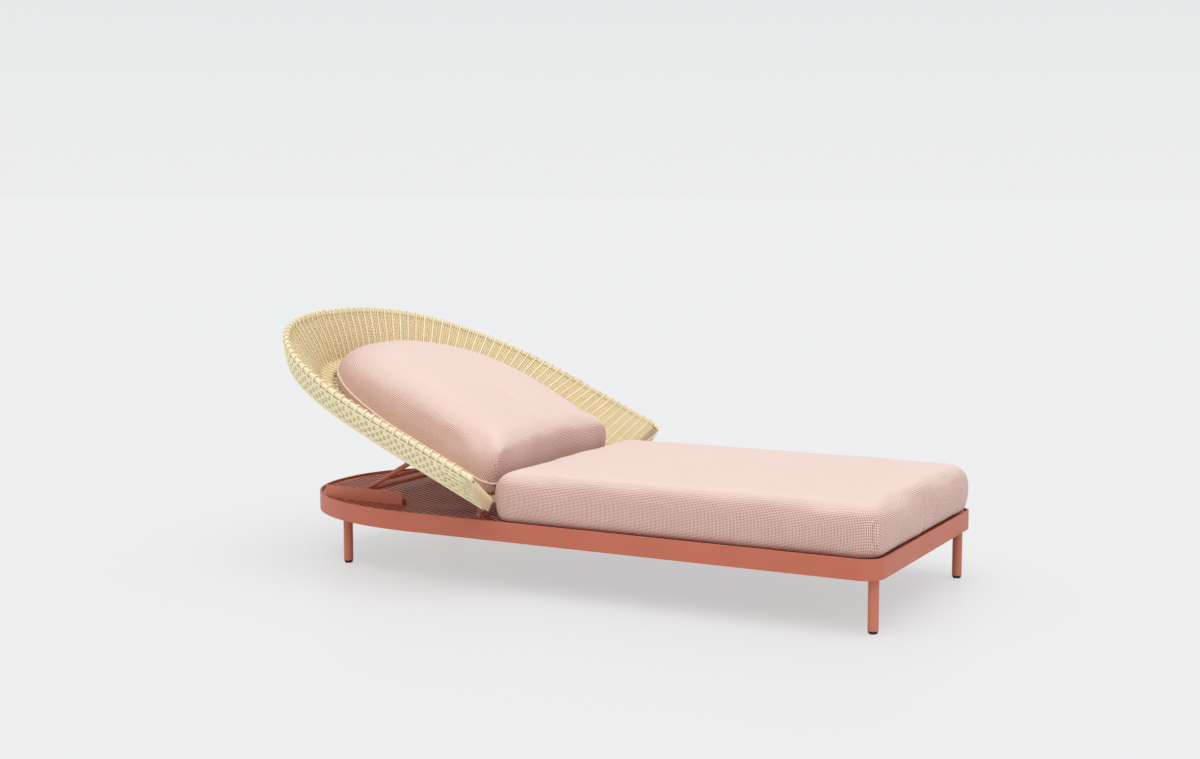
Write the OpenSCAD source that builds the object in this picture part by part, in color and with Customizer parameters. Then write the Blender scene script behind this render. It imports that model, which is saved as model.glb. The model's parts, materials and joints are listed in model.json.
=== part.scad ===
// Sun lounger: a low platform on four legs, and a reclining back in the form of a wide woven dish.
// Millimetres. +X points to the foot end, +Z is up, and the floor is z = 0.

/* [Platform] */
// Length of the platform, from the tip of its round head end to the foot end
frame_l = 2080; // [1900:10:2300]
// Width of the platform
frame_w = 900; // [860:10:1000]
// Length of the part of the platform that its head end rounds
head_l = 578; // [480:2:680]
// Squareness of the round head end, where 2 is an ellipse
head_power = 2.19; // [2:0.01:2.6]
// Radius of the two corners at the foot end
foot_r = 60; // [40:5:100]
// Height of the platform's top edge above the floor
rim_top_z = 215; // [205:5:260]
// Height of the rim band
rim_h = 60; // [55:1:80]
// Thickness of the rim band
rim_t = 6; // [4:0.5:8]
// Rounding of the rim band's edges
rim_edge_r = 1.5; // [0.5:0.1:1.8]

/* [Deck] */
// How far the deck lies below the platform's top edge
deck_drop = 8; // [4:1:12]
// Thickness of the deck sheet
deck_t = 3; // [2:0.5:4]
// Diameter of the holes in the deck
hole_d = 46; // [20:1:56]
// Distance between holes in a row across the deck
hole_pitch = 84; // [80:1:120]
// Width of plain deck along its edge
deck_border = 26; // [12:1:40]

/* [Underframe] */
// Width of the beams under the deck
beam_w = 20; // [18:1:30]
// Height of the beams under the deck
beam_h = 36; // [30:1:38]
// Wall of the beams
beam_wall = 2; // [1.5:0.5:3]
// Distance from the centre line to each long beam
long_beam_y = 313; // [300:1:325]
// Distance of the middle cross beam from the foot end
middle_beam_from_foot = 660; // [500:10:900]

/* [Legs] */
// Outer diameter of the legs
leg_d = 30; // [26:1:40]
// Wall of the legs
leg_wall = 2; // [1.5:0.5:3]
// Distance of the foot legs from the foot end
foot_leg_in = 32; // [28:1:80]
// Distance from the centre line to each foot leg
foot_leg_y = 392; // [340:1:400]
// Distance of the head legs from the head tip
head_leg_in = 238; // [220:1:300]
// Thickness of the plate on top of each leg
leg_plate_t = 4; // [3:1:5]
// Length of that plate, across the platform
leg_plate_l = 44; // [36:1:46]
// Width of that plate, along the platform
leg_plate_w = 36; // [32:1:38]
// Height of the round socket below that plate
socket_h = 9; // [7:0.5:12]
// Length of the solid top of each leg
leg_plug_h = 30; // [24:1:40]
// Height of the recessed collar near the top of each leg
collar_h = 3; // [2:0.5:5]
// How much slimmer than the leg the collar is
collar_step = 3; // [2:0.5:6]
// Height of the black glide below each leg
glide_h = 8.5; // [6:0.5:12]
// Length of the glide's spigot inside the leg
glide_spigot = 13; // [8:1:20]
// Diameter of the stud that holds each leg
stud_d = 10; // [8:1:12]

/* [Hinge] */
// Distance of the hinge line from the head tip of the platform
hinge_from_head = 792; // [780:1:800]
// Height of the hinge line above the deck
hinge_up = 11; // [11:0.5:14]
// Distance from the centre line to the middle of each hinge lug
hinge_y = 390; // [380:1:391]
// Thickness of a hinge lug
lug_t = 8; // [6:0.5:10]
// Radius of the round end of a hinge lug
lug_r = 10; // [9:0.5:10]
// Diameter of a hinge pin
hinge_pin_d = 8; // [6:0.5:9]
// Wall of the bush in a hinge lug
bush_wall = 2; // [1:0.25:2]
// Thickness of a cheek of the hinge bracket
cheek_t = 5; // [4:0.5:7]
// Length of the hinge bracket's base plate
bracket_l = 64; // [56:1:80]
// Thickness of the hinge bracket's base plate
bracket_base_t = 3; // [2:0.5:3]
// Width of the base plate beyond each cheek
bracket_side = 15; // [14.5:0.5:18]
// Length of the foot of a cheek
cheek_l = 36; // [28:1:44]
// Distance of the bracket's screws from the ends of its plate
bracket_screw_in = 9; // [8:0.5:11]
// Distance of the bracket's screws from the sides of its plate
bracket_screw_side = 8; // [7:0.5:9]
// Length of the bracket's screws
bracket_screw_l = 10; // [8:1:14]

/* [Recline] */
// Angle of the back above flat, as drawn
recline = 24.1; // [20:0.1:28]
// Highest angle of the back
recline_max = 43; // [40:1:44]
// Second angle of the back above flat
stop_low = 12; // [10:1:14]
// Fourth angle of the back above flat
stop_high = 34; // [31:1:36]

/* [Backrest dish] */
// Height of the dish's rim above the hinge line, square to the back
dish_rim_up = 184; // [175:1:195]
// Height of the dish's lower edge above the hinge line
dish_base_up = 40; // [40:1:48]
// Half the width of the dish at its rim
dish_rim_half = 615; // [580:1:640]
// Half the width of the dish at its base
dish_base_half = 428; // [425:1:440]
// Distance up the back from the hinge to the tip of the rim
dish_rim_tip = 978; // [960:1:1010]
// Distance up the back from the hinge to the tip of the base
dish_base_tip = 862; // [850:1:880]
// Length of the rounded part of the rim
dish_rim_round = 668; // [600:1:720]
// Length of the rounded part of the base
dish_base_round = 518; // [480:1:560]
// Squareness of the rim, where 2 is an ellipse
dish_rim_power = 2.44; // [2.1:0.01:2.8]
// Squareness of the base, where 2 is an ellipse
dish_base_power = 2.3; // [2.1:0.01:2.6]
// How far below the hinge line the dish's lower end reaches
dish_low = 24; // [18:1:28]
// Bow of the dish's wall, where 1 is straight
dish_bow = 0.78; // [0.7:0.01:1]
// Thickness of the woven wall
weave_t = 9; // [7:0.5:11]
// Radius of the wrapped roll round the rim
roll_r = 9; // [8:0.5:12]
// Radius of the metal hoop inside the roll
rim_hoop_r = 6; // [4:0.5:7]
// Radius of the metal hoop at the base of the dish
base_hoop_r = 11; // [9:0.5:11.5]
// Radius of the tubes across the back
cross_tube_r = 8; // [7:0.5:9]
// Height of the cross tubes above the hinge line
cross_tube_up = 43; // [42:0.5:45]
// Distance up the back to the lowest cross tube
low_tube_u = 22; // [20:1:26]
// Distance up the back to the highest cross tube
high_tube_u = 640; // [620:1:680]
// Thickness of the woven floor
floor_t = 4; // [3:0.5:6]
// Width of a stake that shows on the dish's inner face
stake_w = 7; // [5:0.5:9]
// Height of a stake above the weave
stake_h = 2; // [1:0.5:3]
// Height of the skirt's lower edge above the hinge line
skirt_up = 110; // [104:1:116]
// How far the skirt's lower edge lies inside the rim
skirt_in = 31; // [26:1:36]
// How far the middle of the skirt's top edge lies outside the rim
skirt_out = 2; // [0:0.5:2]
// How far the skirt swells between its edges
skirt_swell = 3; // [0:0.5:3]
// Thickness of the skirt
skirt_t = 5; // [4:0.5:5]
// Thickness of the wrapped weave that closes each lower end
end_t = 18; // [14:1:20]
// Radius of the corners of the wrapped weave at the lower ends
end_r = 9; // [6:0.5:10]
// Distance from the dish's base to the inner corners of the wrapped ends
end_in = 16; // [15:1:22]
// Height of the wrapped ends at their inner edge above the hinge line
end_up = 88; // [80:1:94]

/* [Prop] */
// Distance up the back to the prop's pivot
prop_u = 323; // [318:1:326]
// Height of the prop's pivot above the hinge line
prop_up = 15.8; // [15:0.1:17]
// Radius of the prop's tubes
prop_r = 8; // [7:0.25:8.5]
// Height of the prop's bottom bar above the deck, as drawn
bar_up = 28; // [27:0.5:29]
// Distance from the centre line to each arm
prop_arm_y = 282; // [270:1:282]
// Distance along the arm from the bottom bar to the brace
brace_up = 87; // [60:1:120]
// Wall of the sleeve on each end of the bottom bar
sleeve_wall = 1.5; // [1:0.25:2]
// Diameter of the prop's pivot pins
prop_pin_d = 8; // [6:0.5:8]
// Length of an arm, from its pivot to the bottom bar
prop_l = 253; // [250:0.5:256]
// Thickness of a lug that carries the prop
prop_lug_t = 5; // [4:0.5:6]
// Radius of the round end of a lug that carries the prop
prop_lug_r = 10; // [9:0.5:10]

/* [Ratchet rails] */
// Distance from the centre line to each rail's outer face
rail_y = 320; // [318:1:325]
// Width of each rail
rail_w = 25; // [22:1:25]
// Height of each rail above the deck
rail_h = 42; // [36:1:42]
// Thickness of the rails' plate
rail_t = 3; // [2:0.5:4]
// Distance from the hinge line to the open end of the rails
rail_from_hinge = 338; // [336:1:342]
// Width of a notch in a rack
notch_w = 13; // [9:0.5:14]
// Depth of a notch in a rack
notch_depth = 8; // [5:0.5:9]
// Lean of a notch's foot side
notch_lean = 7; // [4:0.5:10]
// Distance of the outer rail screws from the rail's ends
rail_screw_in = 40; // [30:1:60]
// Length of the rails' screws
rail_screw_l = 12; // [8:1:16]

/* [Seat cushion] */
// Distance from the hinge line to the seat cushion
seat_from_hinge = 63; // [62:1:80]
// Distance between the seat cushion and the foot end
seat_from_foot = 8; // [4:1:20]
// Distance between the seat cushion and the platform's side
seat_from_side = 14; // [10:1:30]
// Thickness of the seat cushion at its crown
seat_t = 155; // [120:1:170]
// Radius of the seat cushion's upright corners
seat_corner_r = 62; // [40:1:90]
// Rounding of the seat cushion's top edge
seat_edge_r = 22; // [10:1:30]
// Height of the crown over the seat cushion's edge
seat_crown = 10; // [4:1:20]
// How far the seat cushion's sides pull in between its corners
seat_waist = 5; // [0:1:12]
// How far the seat cushion's bottom edge is drawn in
seat_tuck = 14; // [8:1:20]
// Distance from the edge over which the seat cushion's top rises
seat_rise_w = 300; // [200:10:320]

/* [Back cushion] */
// Half the width of the back cushion at its piping
back_half = 393; // [380:1:395]
// Distance up the back to the tip of the back cushion
back_tip = 825; // [810:1:828]
// Length of the rounded part of the back cushion
back_round = 540; // [500:1:580]
// Squareness of the back cushion, where 2 is an ellipse
back_power = 2.3; // [2.1:0.01:2.6]
// Distance up the back to the lower end of the back cushion
back_low = 3; // [2:1:12]
// Height of the piping above the woven floor
back_band = 40; // [30:1:50]
// Height of the crown above the piping
back_crown = 98; // [70:1:105]
// Height of the cushion's lower end above the piping
back_end_crown = 48; // [30:1:54]
// Lean of the cushion's lower end, as its slope away from the seat
back_lean = 0.74; // [0.7:0.01:0.9]
// Width over which the back cushion rises from its piping to its crown
back_dome_w = 250; // [150:10:300]
// Width over which the back cushion rises at its lower end
back_end_w = 45; // [30:5:80]
// How far the back cushion's bottom edge is drawn in
back_tuck = 12; // [6:1:14]
// Distance up the back over which the lower end's lean fades
back_lean_l = 330; // [300:10:360]

/* [Fits] */
// Gap between pieces that are fixed to each other
seat_gap = 0.3; // [0.1:0.05:0.5]
// Running clearance between a pin and its bore, on the radius
pin_gap = 0.06; // [0.02:0.01:0.1]
// Diameter of the small screws
screw_d = 5; // [4:0.5:6]
// Diameter of the small screws' heads
screw_head_d = 9; // [8:0.5:10]
// Height of the small screws' heads
screw_head_h = 2.6; // [2:0.2:3]

/* [Hidden] */

$fn = 48;
terracotta = "#c26e57";
straw = "#f2e2b4";
blush = "#e2b8a8";
nylon = "#c9c6c0";
black = "#232323";

// The platform's own measures run from its middle, and origin_x moves them all
foot_x = frame_l / 2;
head_x = -frame_l / 2;
half_w = frame_w / 2;
round_x = head_x + head_l;
rim_low_z = rim_top_z - rim_h;
deck_top = rim_top_z - deck_drop;
deck_low = deck_top - deck_t;
beam_top = deck_low - seat_gap;
beam_low = beam_top - beam_h;
hinge_x = head_x + hinge_from_head;
hinge_z = deck_top + hinge_up;
head_leg_x = head_x + head_leg_in;
foot_leg_x = foot_x - foot_leg_in;
middle_beam_x = foot_x - middle_beam_from_foot;
leg_spots = [
    [head_leg_x, -long_beam_y], [head_leg_x, long_beam_y],
    [foot_leg_x, -foot_leg_y], [foot_leg_x, foot_leg_y]];
leg_plate_low = beam_low - seat_gap - leg_plate_t;
socket_low = leg_plate_low - socket_h;
leg_top = socket_low - collar_h - 2 * seat_gap;
leg_bore_d = leg_d - 2 * leg_wall;

// Where the rim of the dish ends, at rest, is the head end of the whole lounger
dish_tip_x = min([for (a = [0:10:90])
    hinge_x - (dish_rim_tip + roll_r * cos(a)) * cos(recline)
    + (dish_rim_up + roll_r * sin(a)) * sin(recline)]);
origin_x = -(foot_x + dish_tip_x) / 2;

// The prop hangs from the back, and its bottom bar stands over the racks
prop_x = hinge_x - prop_u * cos(recline) + prop_up * sin(recline);
prop_z = hinge_z + prop_u * sin(recline) + prop_up * cos(recline);
bar_z = deck_top + bar_up;
prop_angle = asin((prop_z - bar_z) / prop_l);
sleeve_r = prop_r + sleeve_wall;
bar_end_y = rail_y - rail_t - 5;
rail_head_x = round_x - head_l * pow(1 - pow(rail_y / half_w, head_power), 1 / head_power)
    + 1.6 * rim_t;
rail_foot_x = hinge_x - rail_from_hinge;
rail_low = deck_top + seat_gap;
rack_low = rail_low + rail_t + seat_gap;
rack_top = bar_z - sleeve_r - 2 * seat_gap;
recline_stops = [0, stop_low, recline, stop_high, recline_max];
rail_screw_step = (rail_foot_x - rail_head_x - 2 * rail_screw_in) / 2;
rail_screw_spots = [for (i = [0:2], s = [-1, 1])
    [rail_head_x + rail_screw_in + i * rail_screw_step, s * (rail_y - rail_w / 2)]];

// Each long beam runs between two cross beams, and the first starts inside the head of the rim
beam_end = beam_w / 2 + seat_gap;
long_spans = [
    [rail_head_x + 30, head_leg_x - beam_end], [head_leg_x + beam_end, hinge_x - beam_end],
    [hinge_x + beam_end, middle_beam_x - beam_end], [middle_beam_x + beam_end, foot_leg_x - beam_end]];

// The hinge bracket is cut away under its lug, and four screws hold it
bracket_w = lug_t + 2 * cheek_t + 2 * bracket_side;
bracket_screw_x = bracket_l / 2 - bracket_screw_in;
bracket_screw_y = bracket_w / 2 - bracket_screw_side;
bracket_screw_spots = [for (s = [-1, 1], i = [-1, 1], j = [-1, 1])
    [hinge_x + i * bracket_screw_x, s * hinge_y + j * bracket_screw_y]];
cheek_gap = 1;
cheek_in = lug_t / 2 + cheek_gap;
bush_r = hinge_pin_d / 2 + pin_gap + bush_wall;

// Dish
side_steps = 12;
round_steps = 62;
wall_steps = [0, 0.12, 0.3, 0.5, 0.75, 1];
hoop_in = base_hoop_r + weave_t / 2 - 1;
hoop_up = dish_base_up + 6;
floor_low = cross_tube_up + cross_tube_r + seat_gap;
floor_top = floor_low + floor_t;

// Cushions
seat_low = deck_top + seat_gap;
seat_x0 = hinge_x + seat_from_hinge;
seat_x1 = foot_x - seat_from_foot;
seat_half = half_w - seat_from_side;
cushion_low = floor_top + seat_gap;
piping_up = cushion_low + back_band;

// Outward normal of the edge from a to b, on an outline that runs counter-clockwise
function edge_normal(a, b) = [b.y - a.y, a.x - b.x] / norm(b - a);

// Where point i of a closed outline goes when the outline moves out by 1
function mitre(pts, i) =
    let (
        n = len(pts),
        a = edge_normal(pts[(i + n - 1) % n], pts[i]),
        b = edge_normal(pts[i], pts[(i + 1) % n]))
    (a + b) / (1 + a * b);

function inset(pts, d) = [for (i = [0:len(pts) - 1]) pts[i] - d * mitre(pts, i)];

// Distance from the centre of a rounded end to its outline, in the direction a
function round_end(a, l, w, power) =
    pow(pow(abs(cos(a)) / l, power) + pow(abs(sin(a)) / w, power), -1 / power);

function arc(c, r, a0, a1, n) =
    [for (i = [0:n]) let (a = a0 + (a1 - a0) * i / n) c + r * [cos(a), sin(a)]];

// Outline of the platform, seen from above
function platform_outline() = concat(
    arc([foot_x - foot_r, foot_r - half_w], foot_r, -90, 0, 8),
    arc([foot_x - foot_r, half_w - foot_r], foot_r, 0, 90, 8),
    [for (i = [0:60]) let (a = 90 - 3 * i, r = round_end(a, head_l, half_w, head_power))
        [round_x - r * cos(a), r * sin(a)]]);

// Half the clear width inside the rim at a place x
function inside_half(x) =
    let (
        d = max(round_x - x, 0) / (head_l - rim_t),
        c = max(x - foot_x + foot_r, 0),
        r = foot_r - rim_t)
    c > 0 ? half_w - foot_r + sqrt(max(r * r - c * c, 0))
    : (half_w - rim_t) * pow(1 - pow(d, head_power), 1 / head_power);

// A closed skin over rings of points, each ring with the same even number of points
module skin(rings, loop = false) {
    n = len(rings[0]);
    m = len(rings);
    walls = [for (j = [0:(loop ? m - 1 : m - 2)], i = [0:n - 1], half = [0, 1])
        let (
            a = j * n + i,
            b = j * n + (i + 1) % n,
            c = ((j + 1) % m) * n + (i + 1) % n,
            d = ((j + 1) % m) * n + i)
        half == 0 ? [a, b, c] : [a, c, d]];
    caps = loop ? [] : [for (i = [0:n / 2 - 2], end = [0, 1], half = [0, 1])
        let (
            q = [i, i + 1, n - 2 - i, n - 1 - i],
            t = half == 0 ? [q[0], q[1], q[2]] : [q[0], q[2], q[3]])
        end == 0 ? [t[2], t[1], t[0]] : t + (m - 1) * n * [1, 1, 1]];
    polyhedron(points = [for (r = rings) each r], faces = concat(walls, caps));
}

module in_place() {
    translate([origin_x, 0, 0]) children();
}

// The back's own frame: -X runs up the back from the hinge line, and Z is square to the back
module on_back() {
    in_place() translate([hinge_x, 0, hinge_z]) rotate([0, recline, 0]) children();
}

// The prop's own frame: -X runs down the arms from the pivot
module on_prop() {
    in_place() translate([prop_x, 0, prop_z]) rotate([0, -prop_angle, 0]) children();
}

// Round bar along Y, centred on y
module across(r, y0, y1) {
    translate([0, y0, 0]) rotate([-90, 0, 0]) cylinder(h = y1 - y0, r = r);
}

module tube_across(r, bore_r, y0, y1) {
    difference() {
        across(r, y0, y1);
        across(bore_r, y0 - 1, y1 + 1);
    }
}

module screws(spots, z, l) {
    for (p = spots) {
        translate([p.x, p.y, z]) cylinder(h = screw_head_h, d1 = screw_head_d, d2 = 0.8 * screw_head_d);
        translate([p.x, p.y, z - l]) cylinder(h = l + 0.5, d = screw_d);
    }
}

// Platform

function rim_section(p, n) =
    let (
        e = min(rim_edge_r, rim_t / 3),
        c = e * 0.293,
        z0 = rim_low_z,
        z1 = rim_top_z)
    [for (q = [
        [0, z0 + e], [-c, z0 + c], [-e, z0], [e - rim_t, z0], [c - rim_t, z0 + c], [-rim_t, z0 + e],
        [-rim_t, z1 - e], [c - rim_t, z1 - c], [e - rim_t, z1], [-e, z1], [-c, z1 - c], [0, z1 - e]])
        [p.x + q[0] * n.x, p.y + q[0] * n.y, q[1]]];

module rim_band() {
    pts = platform_outline();
    color(terracotta) in_place()
        skin([for (i = [0:len(pts) - 1]) rim_section(pts[i], mitre(pts, i))], true);
}

// The holes stand in staggered rows, clear of the deck's edge and of its screws
function hole_spots() =
    let (
        step = hole_pitch * sqrt(3) / 2,
        r = hole_d / 2,
        cols = floor((frame_l - 2 * deck_border) / step),
        rows = ceil(half_w / hole_pitch),
        fixings = concat(rail_screw_spots, bracket_screw_spots))
    [for (i = [0:cols], j = [-rows:rows])
        let (
            x = foot_x - rim_t - deck_border - r - i * step,
            y = (j + (i % 2) / 2) * hole_pitch,
            far = x - r - deck_border * 0.6,
            corner = x > foot_x - foot_r - r ? 0.35 * foot_r : 0)
        if (far > head_x + rim_t
            && abs(y) + r < inside_half(far) - deck_border * 0.6 - corner
            && min([for (f = fixings) norm(f - [x, y])]) > r + screw_head_d)
        [x, y]];

module deck_sheet() {
    color(terracotta) in_place() translate([0, 0, deck_low]) linear_extrude(deck_t) difference() {
        polygon(inset(platform_outline(), rim_t + seat_gap));
        for (p = hole_spots()) translate(p) circle(d = hole_d, $fn = 24);
        for (p = concat(rail_screw_spots, bracket_screw_spots))
            translate(p) circle(d = screw_d + 2 * seat_gap, $fn = 24);
    }
}

// Square tube along X or Y that stands under the deck, with holes for the screws from above
module beam(l, along_y, spots = []) {
    difference() {
        rotate([0, 0, along_y ? 90 : 0]) difference() {
            translate([-l / 2, -beam_w / 2, 0]) cube([l, beam_w, beam_h]);
            translate([-l / 2 - 1, beam_wall - beam_w / 2, beam_wall])
                cube([l + 2, beam_w - 2 * beam_wall, beam_h - 2 * beam_wall]);
        }
        for (p = spots) translate([p.x, p.y, beam_h / 2]) cylinder(h = beam_h, d = screw_d + 2 * seat_gap);
    }
}

module cross_beam(x, studs = [], spots = []) {
    half = min(inside_half(x - beam_w / 2), inside_half(x + beam_w / 2)) - 0.6;
    color(terracotta) in_place() translate([x, 0, beam_low]) difference() {
        beam(2 * half, true, [for (p = spots) [p.x - x, p.y]]);
        for (p = studs) translate([0, p.y, -1]) cylinder(h = beam_wall + 2, d = stud_d + 2 * seat_gap);
    }
}

module cross_beam_head() {
    cross_beam(head_leg_x, [leg_spots[0], leg_spots[1]]);
}

module cross_beam_hinge() {
    cross_beam(hinge_x, [], [for (p = bracket_screw_spots) [p.x, p.y]]);
}

module cross_beam_middle() {
    cross_beam(middle_beam_x);
}

module cross_beam_foot() {
    cross_beam(foot_leg_x, [leg_spots[2], leg_spots[3]]);
}

module long_beams() {
    color(terracotta) in_place() for (s = [-1, 1], span = long_spans) {
        mid = (span[0] + span[1]) / 2;
        translate([mid, s * long_beam_y, beam_low])
            beam(span[1] - span[0], false,
                [for (p = rail_screw_spots) if (p.y * s > 0) [p.x - mid, p.y - s * long_beam_y]]);
    }
}

module leg_sockets() {
    color(terracotta) in_place() for (p = leg_spots) translate([p.x, p.y, 0]) difference() {
        union() {
            translate([-leg_plate_w / 2, -leg_plate_l / 2, leg_plate_low])
                cube([leg_plate_w, leg_plate_l, leg_plate_t]);
            translate([0, 0, socket_low]) cylinder(h = socket_h + 1, d = leg_d);
        }
        translate([0, 0, socket_low - 1])
            cylinder(h = socket_h + leg_plate_t + 2, d = stud_d + 2 * seat_gap);
    }
}

module leg_collars() {
    color(terracotta) in_place() for (p = leg_spots) translate([p.x, p.y, socket_low - seat_gap - collar_h])
        difference() {
            cylinder(h = collar_h, d = leg_d - collar_step);
            translate([0, 0, -1]) cylinder(h = collar_h + 2, d = stud_d + 2 * seat_gap);
        }
}

module leg(p) {
    color(terracotta) in_place() translate([p.x, p.y, 0]) difference() {
        translate([0, 0, glide_h + seat_gap]) cylinder(h = leg_top - glide_h - seat_gap, d = leg_d);
        translate([0, 0, -1]) cylinder(h = leg_top - leg_plug_h + 1, d = leg_bore_d);
        translate([0, 0, leg_top - leg_plug_h - 1]) cylinder(h = leg_plug_h + 2, d = stud_d + 2 * seat_gap);
    }
}

module leg_head_near() {
    leg(leg_spots[0]);
}

module leg_head_far() {
    leg(leg_spots[1]);
}

module leg_foot_near() {
    leg(leg_spots[2]);
}

module leg_foot_far() {
    leg(leg_spots[3]);
}

module leg_studs() {
    low = leg_top - leg_plug_h + 4;
    color("silver") in_place() for (p = leg_spots) translate([p.x, p.y, 0]) {
        translate([0, 0, low]) cylinder(h = beam_low + beam_wall - low + 8, d = stud_d);
        translate([0, 0, beam_low + beam_wall + seat_gap])
            cylinder(h = 7, d = 1.6 * stud_d, $fn = 6);
    }
}

module glides() {
    spigot_r = leg_bore_d / 2 - seat_gap;
    foot = leg_d / 2 - 1;
    color(black) in_place() for (p = leg_spots) translate([p.x, p.y, 0]) rotate_extrude() union() {
        intersection() {
            translate([0, glide_h]) circle(r = foot);
            translate([0, 0]) square([foot, glide_h]);
        }
        translate([0, glide_h - 1]) square([spigot_r, glide_spigot + 1]);
    }
}

// Hinge brackets

module hinge_bracket(s) {
    color(terracotta) in_place() translate([hinge_x, s * hinge_y, deck_top + seat_gap]) difference() {
        union() {
            translate([-bracket_l / 2, -bracket_w / 2, 0]) cube([bracket_l, bracket_w, bracket_base_t]);
            for (side = [-1, 1]) translate([0, side * (cheek_in + cheek_t / 2) - cheek_t / 2, 0]) {
                translate([-cheek_l / 2, 0, 0]) cube([cheek_l, cheek_t, hinge_up - seat_gap]);
                translate([0, 0, hinge_up - seat_gap]) across(lug_r, 0, cheek_t);
            }
        }
        translate([-lug_r - 8, -cheek_in, -1]) cube([2 * lug_r + 16, 2 * cheek_in, 40]);
        translate([0, 0, hinge_up - seat_gap]) across(hinge_pin_d / 2 + pin_gap, -bracket_w, bracket_w);
        translate([-bracket_l / 2, -bracket_w / 2, -2 * lug_r]) cube([bracket_l, bracket_w, 2 * lug_r]);
        for (i = [-1, 1], j = [-1, 1])
            translate([i * bracket_screw_x, j * bracket_screw_y, -1])
                cylinder(h = bracket_base_t + 2, d = screw_d + 2 * seat_gap);
    }
}

module hinge_bracket_near() {
    hinge_bracket(-1);
}

module hinge_bracket_far() {
    hinge_bracket(1);
}

module bracket_screws() {
    color("silver") in_place()
        screws(bracket_screw_spots, deck_top + 2 * seat_gap + bracket_base_t, bracket_screw_l);
}

module hinge_pins() {
    reach = cheek_in + cheek_t + 1.5;
    color("silver") in_place() for (s = [-1, 1]) translate([hinge_x, s * hinge_y, hinge_z]) {
        across(hinge_pin_d / 2, -reach, reach);
        across(hinge_pin_d / 2 + 2, -reach - 2, -cheek_in - cheek_t - seat_gap);
        across(hinge_pin_d / 2 + 2, cheek_in + cheek_t + seat_gap, reach + 2);
    }
}

// Ratchet rails

module rail(s) {
    l = rail_foot_x - rail_head_x;
    color(terracotta) in_place() difference() {
        translate([rail_head_x, s > 0 ? rail_y - rail_w : -rail_y, rail_low]) union() {
            cube([l, rail_w, rail_t]);
            translate([0, s > 0 ? rail_w - rail_t : 0, 0]) cube([l, rail_t, rail_h]);
        }
        for (p = rail_screw_spots) translate([p.x, p.y, rail_low - 1])
            cylinder(h = rail_t + 2, d = screw_d + 2 * seat_gap);
    }
}

module rail_near() {
    rail(-1);
}

module rail_far() {
    rail(1);
}

// Place of the bottom bar along the rails when the back stands at the angle a
function bar_x(a) =
    let (
        x = hinge_x - prop_u * cos(a) + prop_up * sin(a),
        z = hinge_z + prop_u * sin(a) + prop_up * cos(a))
    x - sqrt(prop_l * prop_l - pow(z - bar_z, 2));

module rack(s) {
    color(terracotta) in_place()
        translate([0, s > 0 ? rail_y - rail_w + rail_t : rail_w - rail_y, 0])
        rotate([90, 0, 0]) linear_extrude(rail_t) difference() {
            translate([rail_head_x, rack_low])
                square([rail_foot_x - rail_head_x, rack_top - rack_low]);
            for (a = recline_stops) let (x = bar_x(a), w = notch_w / 2)
                polygon([[x - w, rack_top + 1], [x - w, rack_top - notch_depth],
                    [x + w - notch_lean / 2, rack_top - notch_depth], [x + w + notch_lean / 2, rack_top + 1]]);
        }
}

module rack_near() {
    rack(-1);
}

module rack_far() {
    rack(1);
}

module rail_screws() {
    color("silver") in_place() screws(rail_screw_spots, rail_low + rail_t + seat_gap, rail_screw_l);
}

// Backrest dish. A station k is a line up the dish's wall, from its base to its rim.

function dish_point(k, half, tip, round_l, power) =
    let (
        start = tip - round_l,
        a = 90 - 180 * (k - side_steps) / round_steps,
        r = round_end(a, round_l, half, power),
        last = 2 * side_steps + round_steps)
    k < side_steps ? [-dish_low + (start + dish_low) * k / side_steps, half]
    : k > side_steps + round_steps ? [-dish_low + (start + dish_low) * (last - k) / side_steps, -half]
    : [start + r * cos(a), r * sin(a)];

function rim_point(k) =
    dish_point(k, dish_rim_half, dish_rim_tip, dish_rim_round, dish_rim_power);

function base_point(k) =
    dish_point(k, dish_base_half, dish_base_tip, dish_base_round, dish_base_power);

stations = [for (k = [0:2 * side_steps + round_steps]) k];
base_pts = [for (k = stations) base_point(k)];
rim_pts = [for (k = stations) rim_point(k)];
outward = [for (k = stations) (rim_pts[k] - base_pts[k]) / norm(rim_pts[k] - base_pts[k])];

// Share of the wall's width at which the weave meets the roll round the rim
function wall_top(k) =
    1 - (roll_r + 2 * seat_gap) / norm([
        norm(rim_pts[k] - base_pts[k]), (dish_rim_up - dish_base_up) * dish_bow]);

// Slope of the wall at the share g of its width
function wall_slope(k, g) =
    atan2((dish_rim_up - dish_base_up) * dish_bow * pow(max(g, 0.06), dish_bow - 1),
        norm(rim_pts[k] - base_pts[k]));

// Point on station k at the share g of the wall's width, lifted off its middle by d, and moved along by v
function wall_point(k, g, d, v = 0) =
    let (
        slope = wall_slope(k, g),
        run = norm(rim_pts[k] - base_pts[k]) * g - d * sin(slope),
        p = base_pts[k] + run * outward[k] + v * [-outward[k].y, outward[k].x])
    [-p.x, p.y,
        dish_base_up + (dish_rim_up - dish_base_up) * pow(g, dish_bow) + d * cos(slope)];

// Ring of points round a place p, in the plane of n and up
function ring(p, n, up, r, sides) =
    [for (i = [0:sides - 1]) let (a = 360 * i / sides) p + r * cos(a) * n + r * sin(a) * up];

function hoop_rings(pts, normals, up, r, sides) =
    [for (k = stations)
        ring([-pts[k].x, pts[k].y, up], [-normals[k].x, normals[k].y, 0], [0, 0, 1], r, sides)];

// A tube's normal at a station, square to the way from its neighbour before to its neighbour after
function path_normal(pts, k) =
    let (
        a = pts[max(k - 1, 0)],
        b = pts[min(k + 1, len(pts) - 1)],
        d = (b - a) / norm(b - a))
    [-d.y, d.x];

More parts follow.
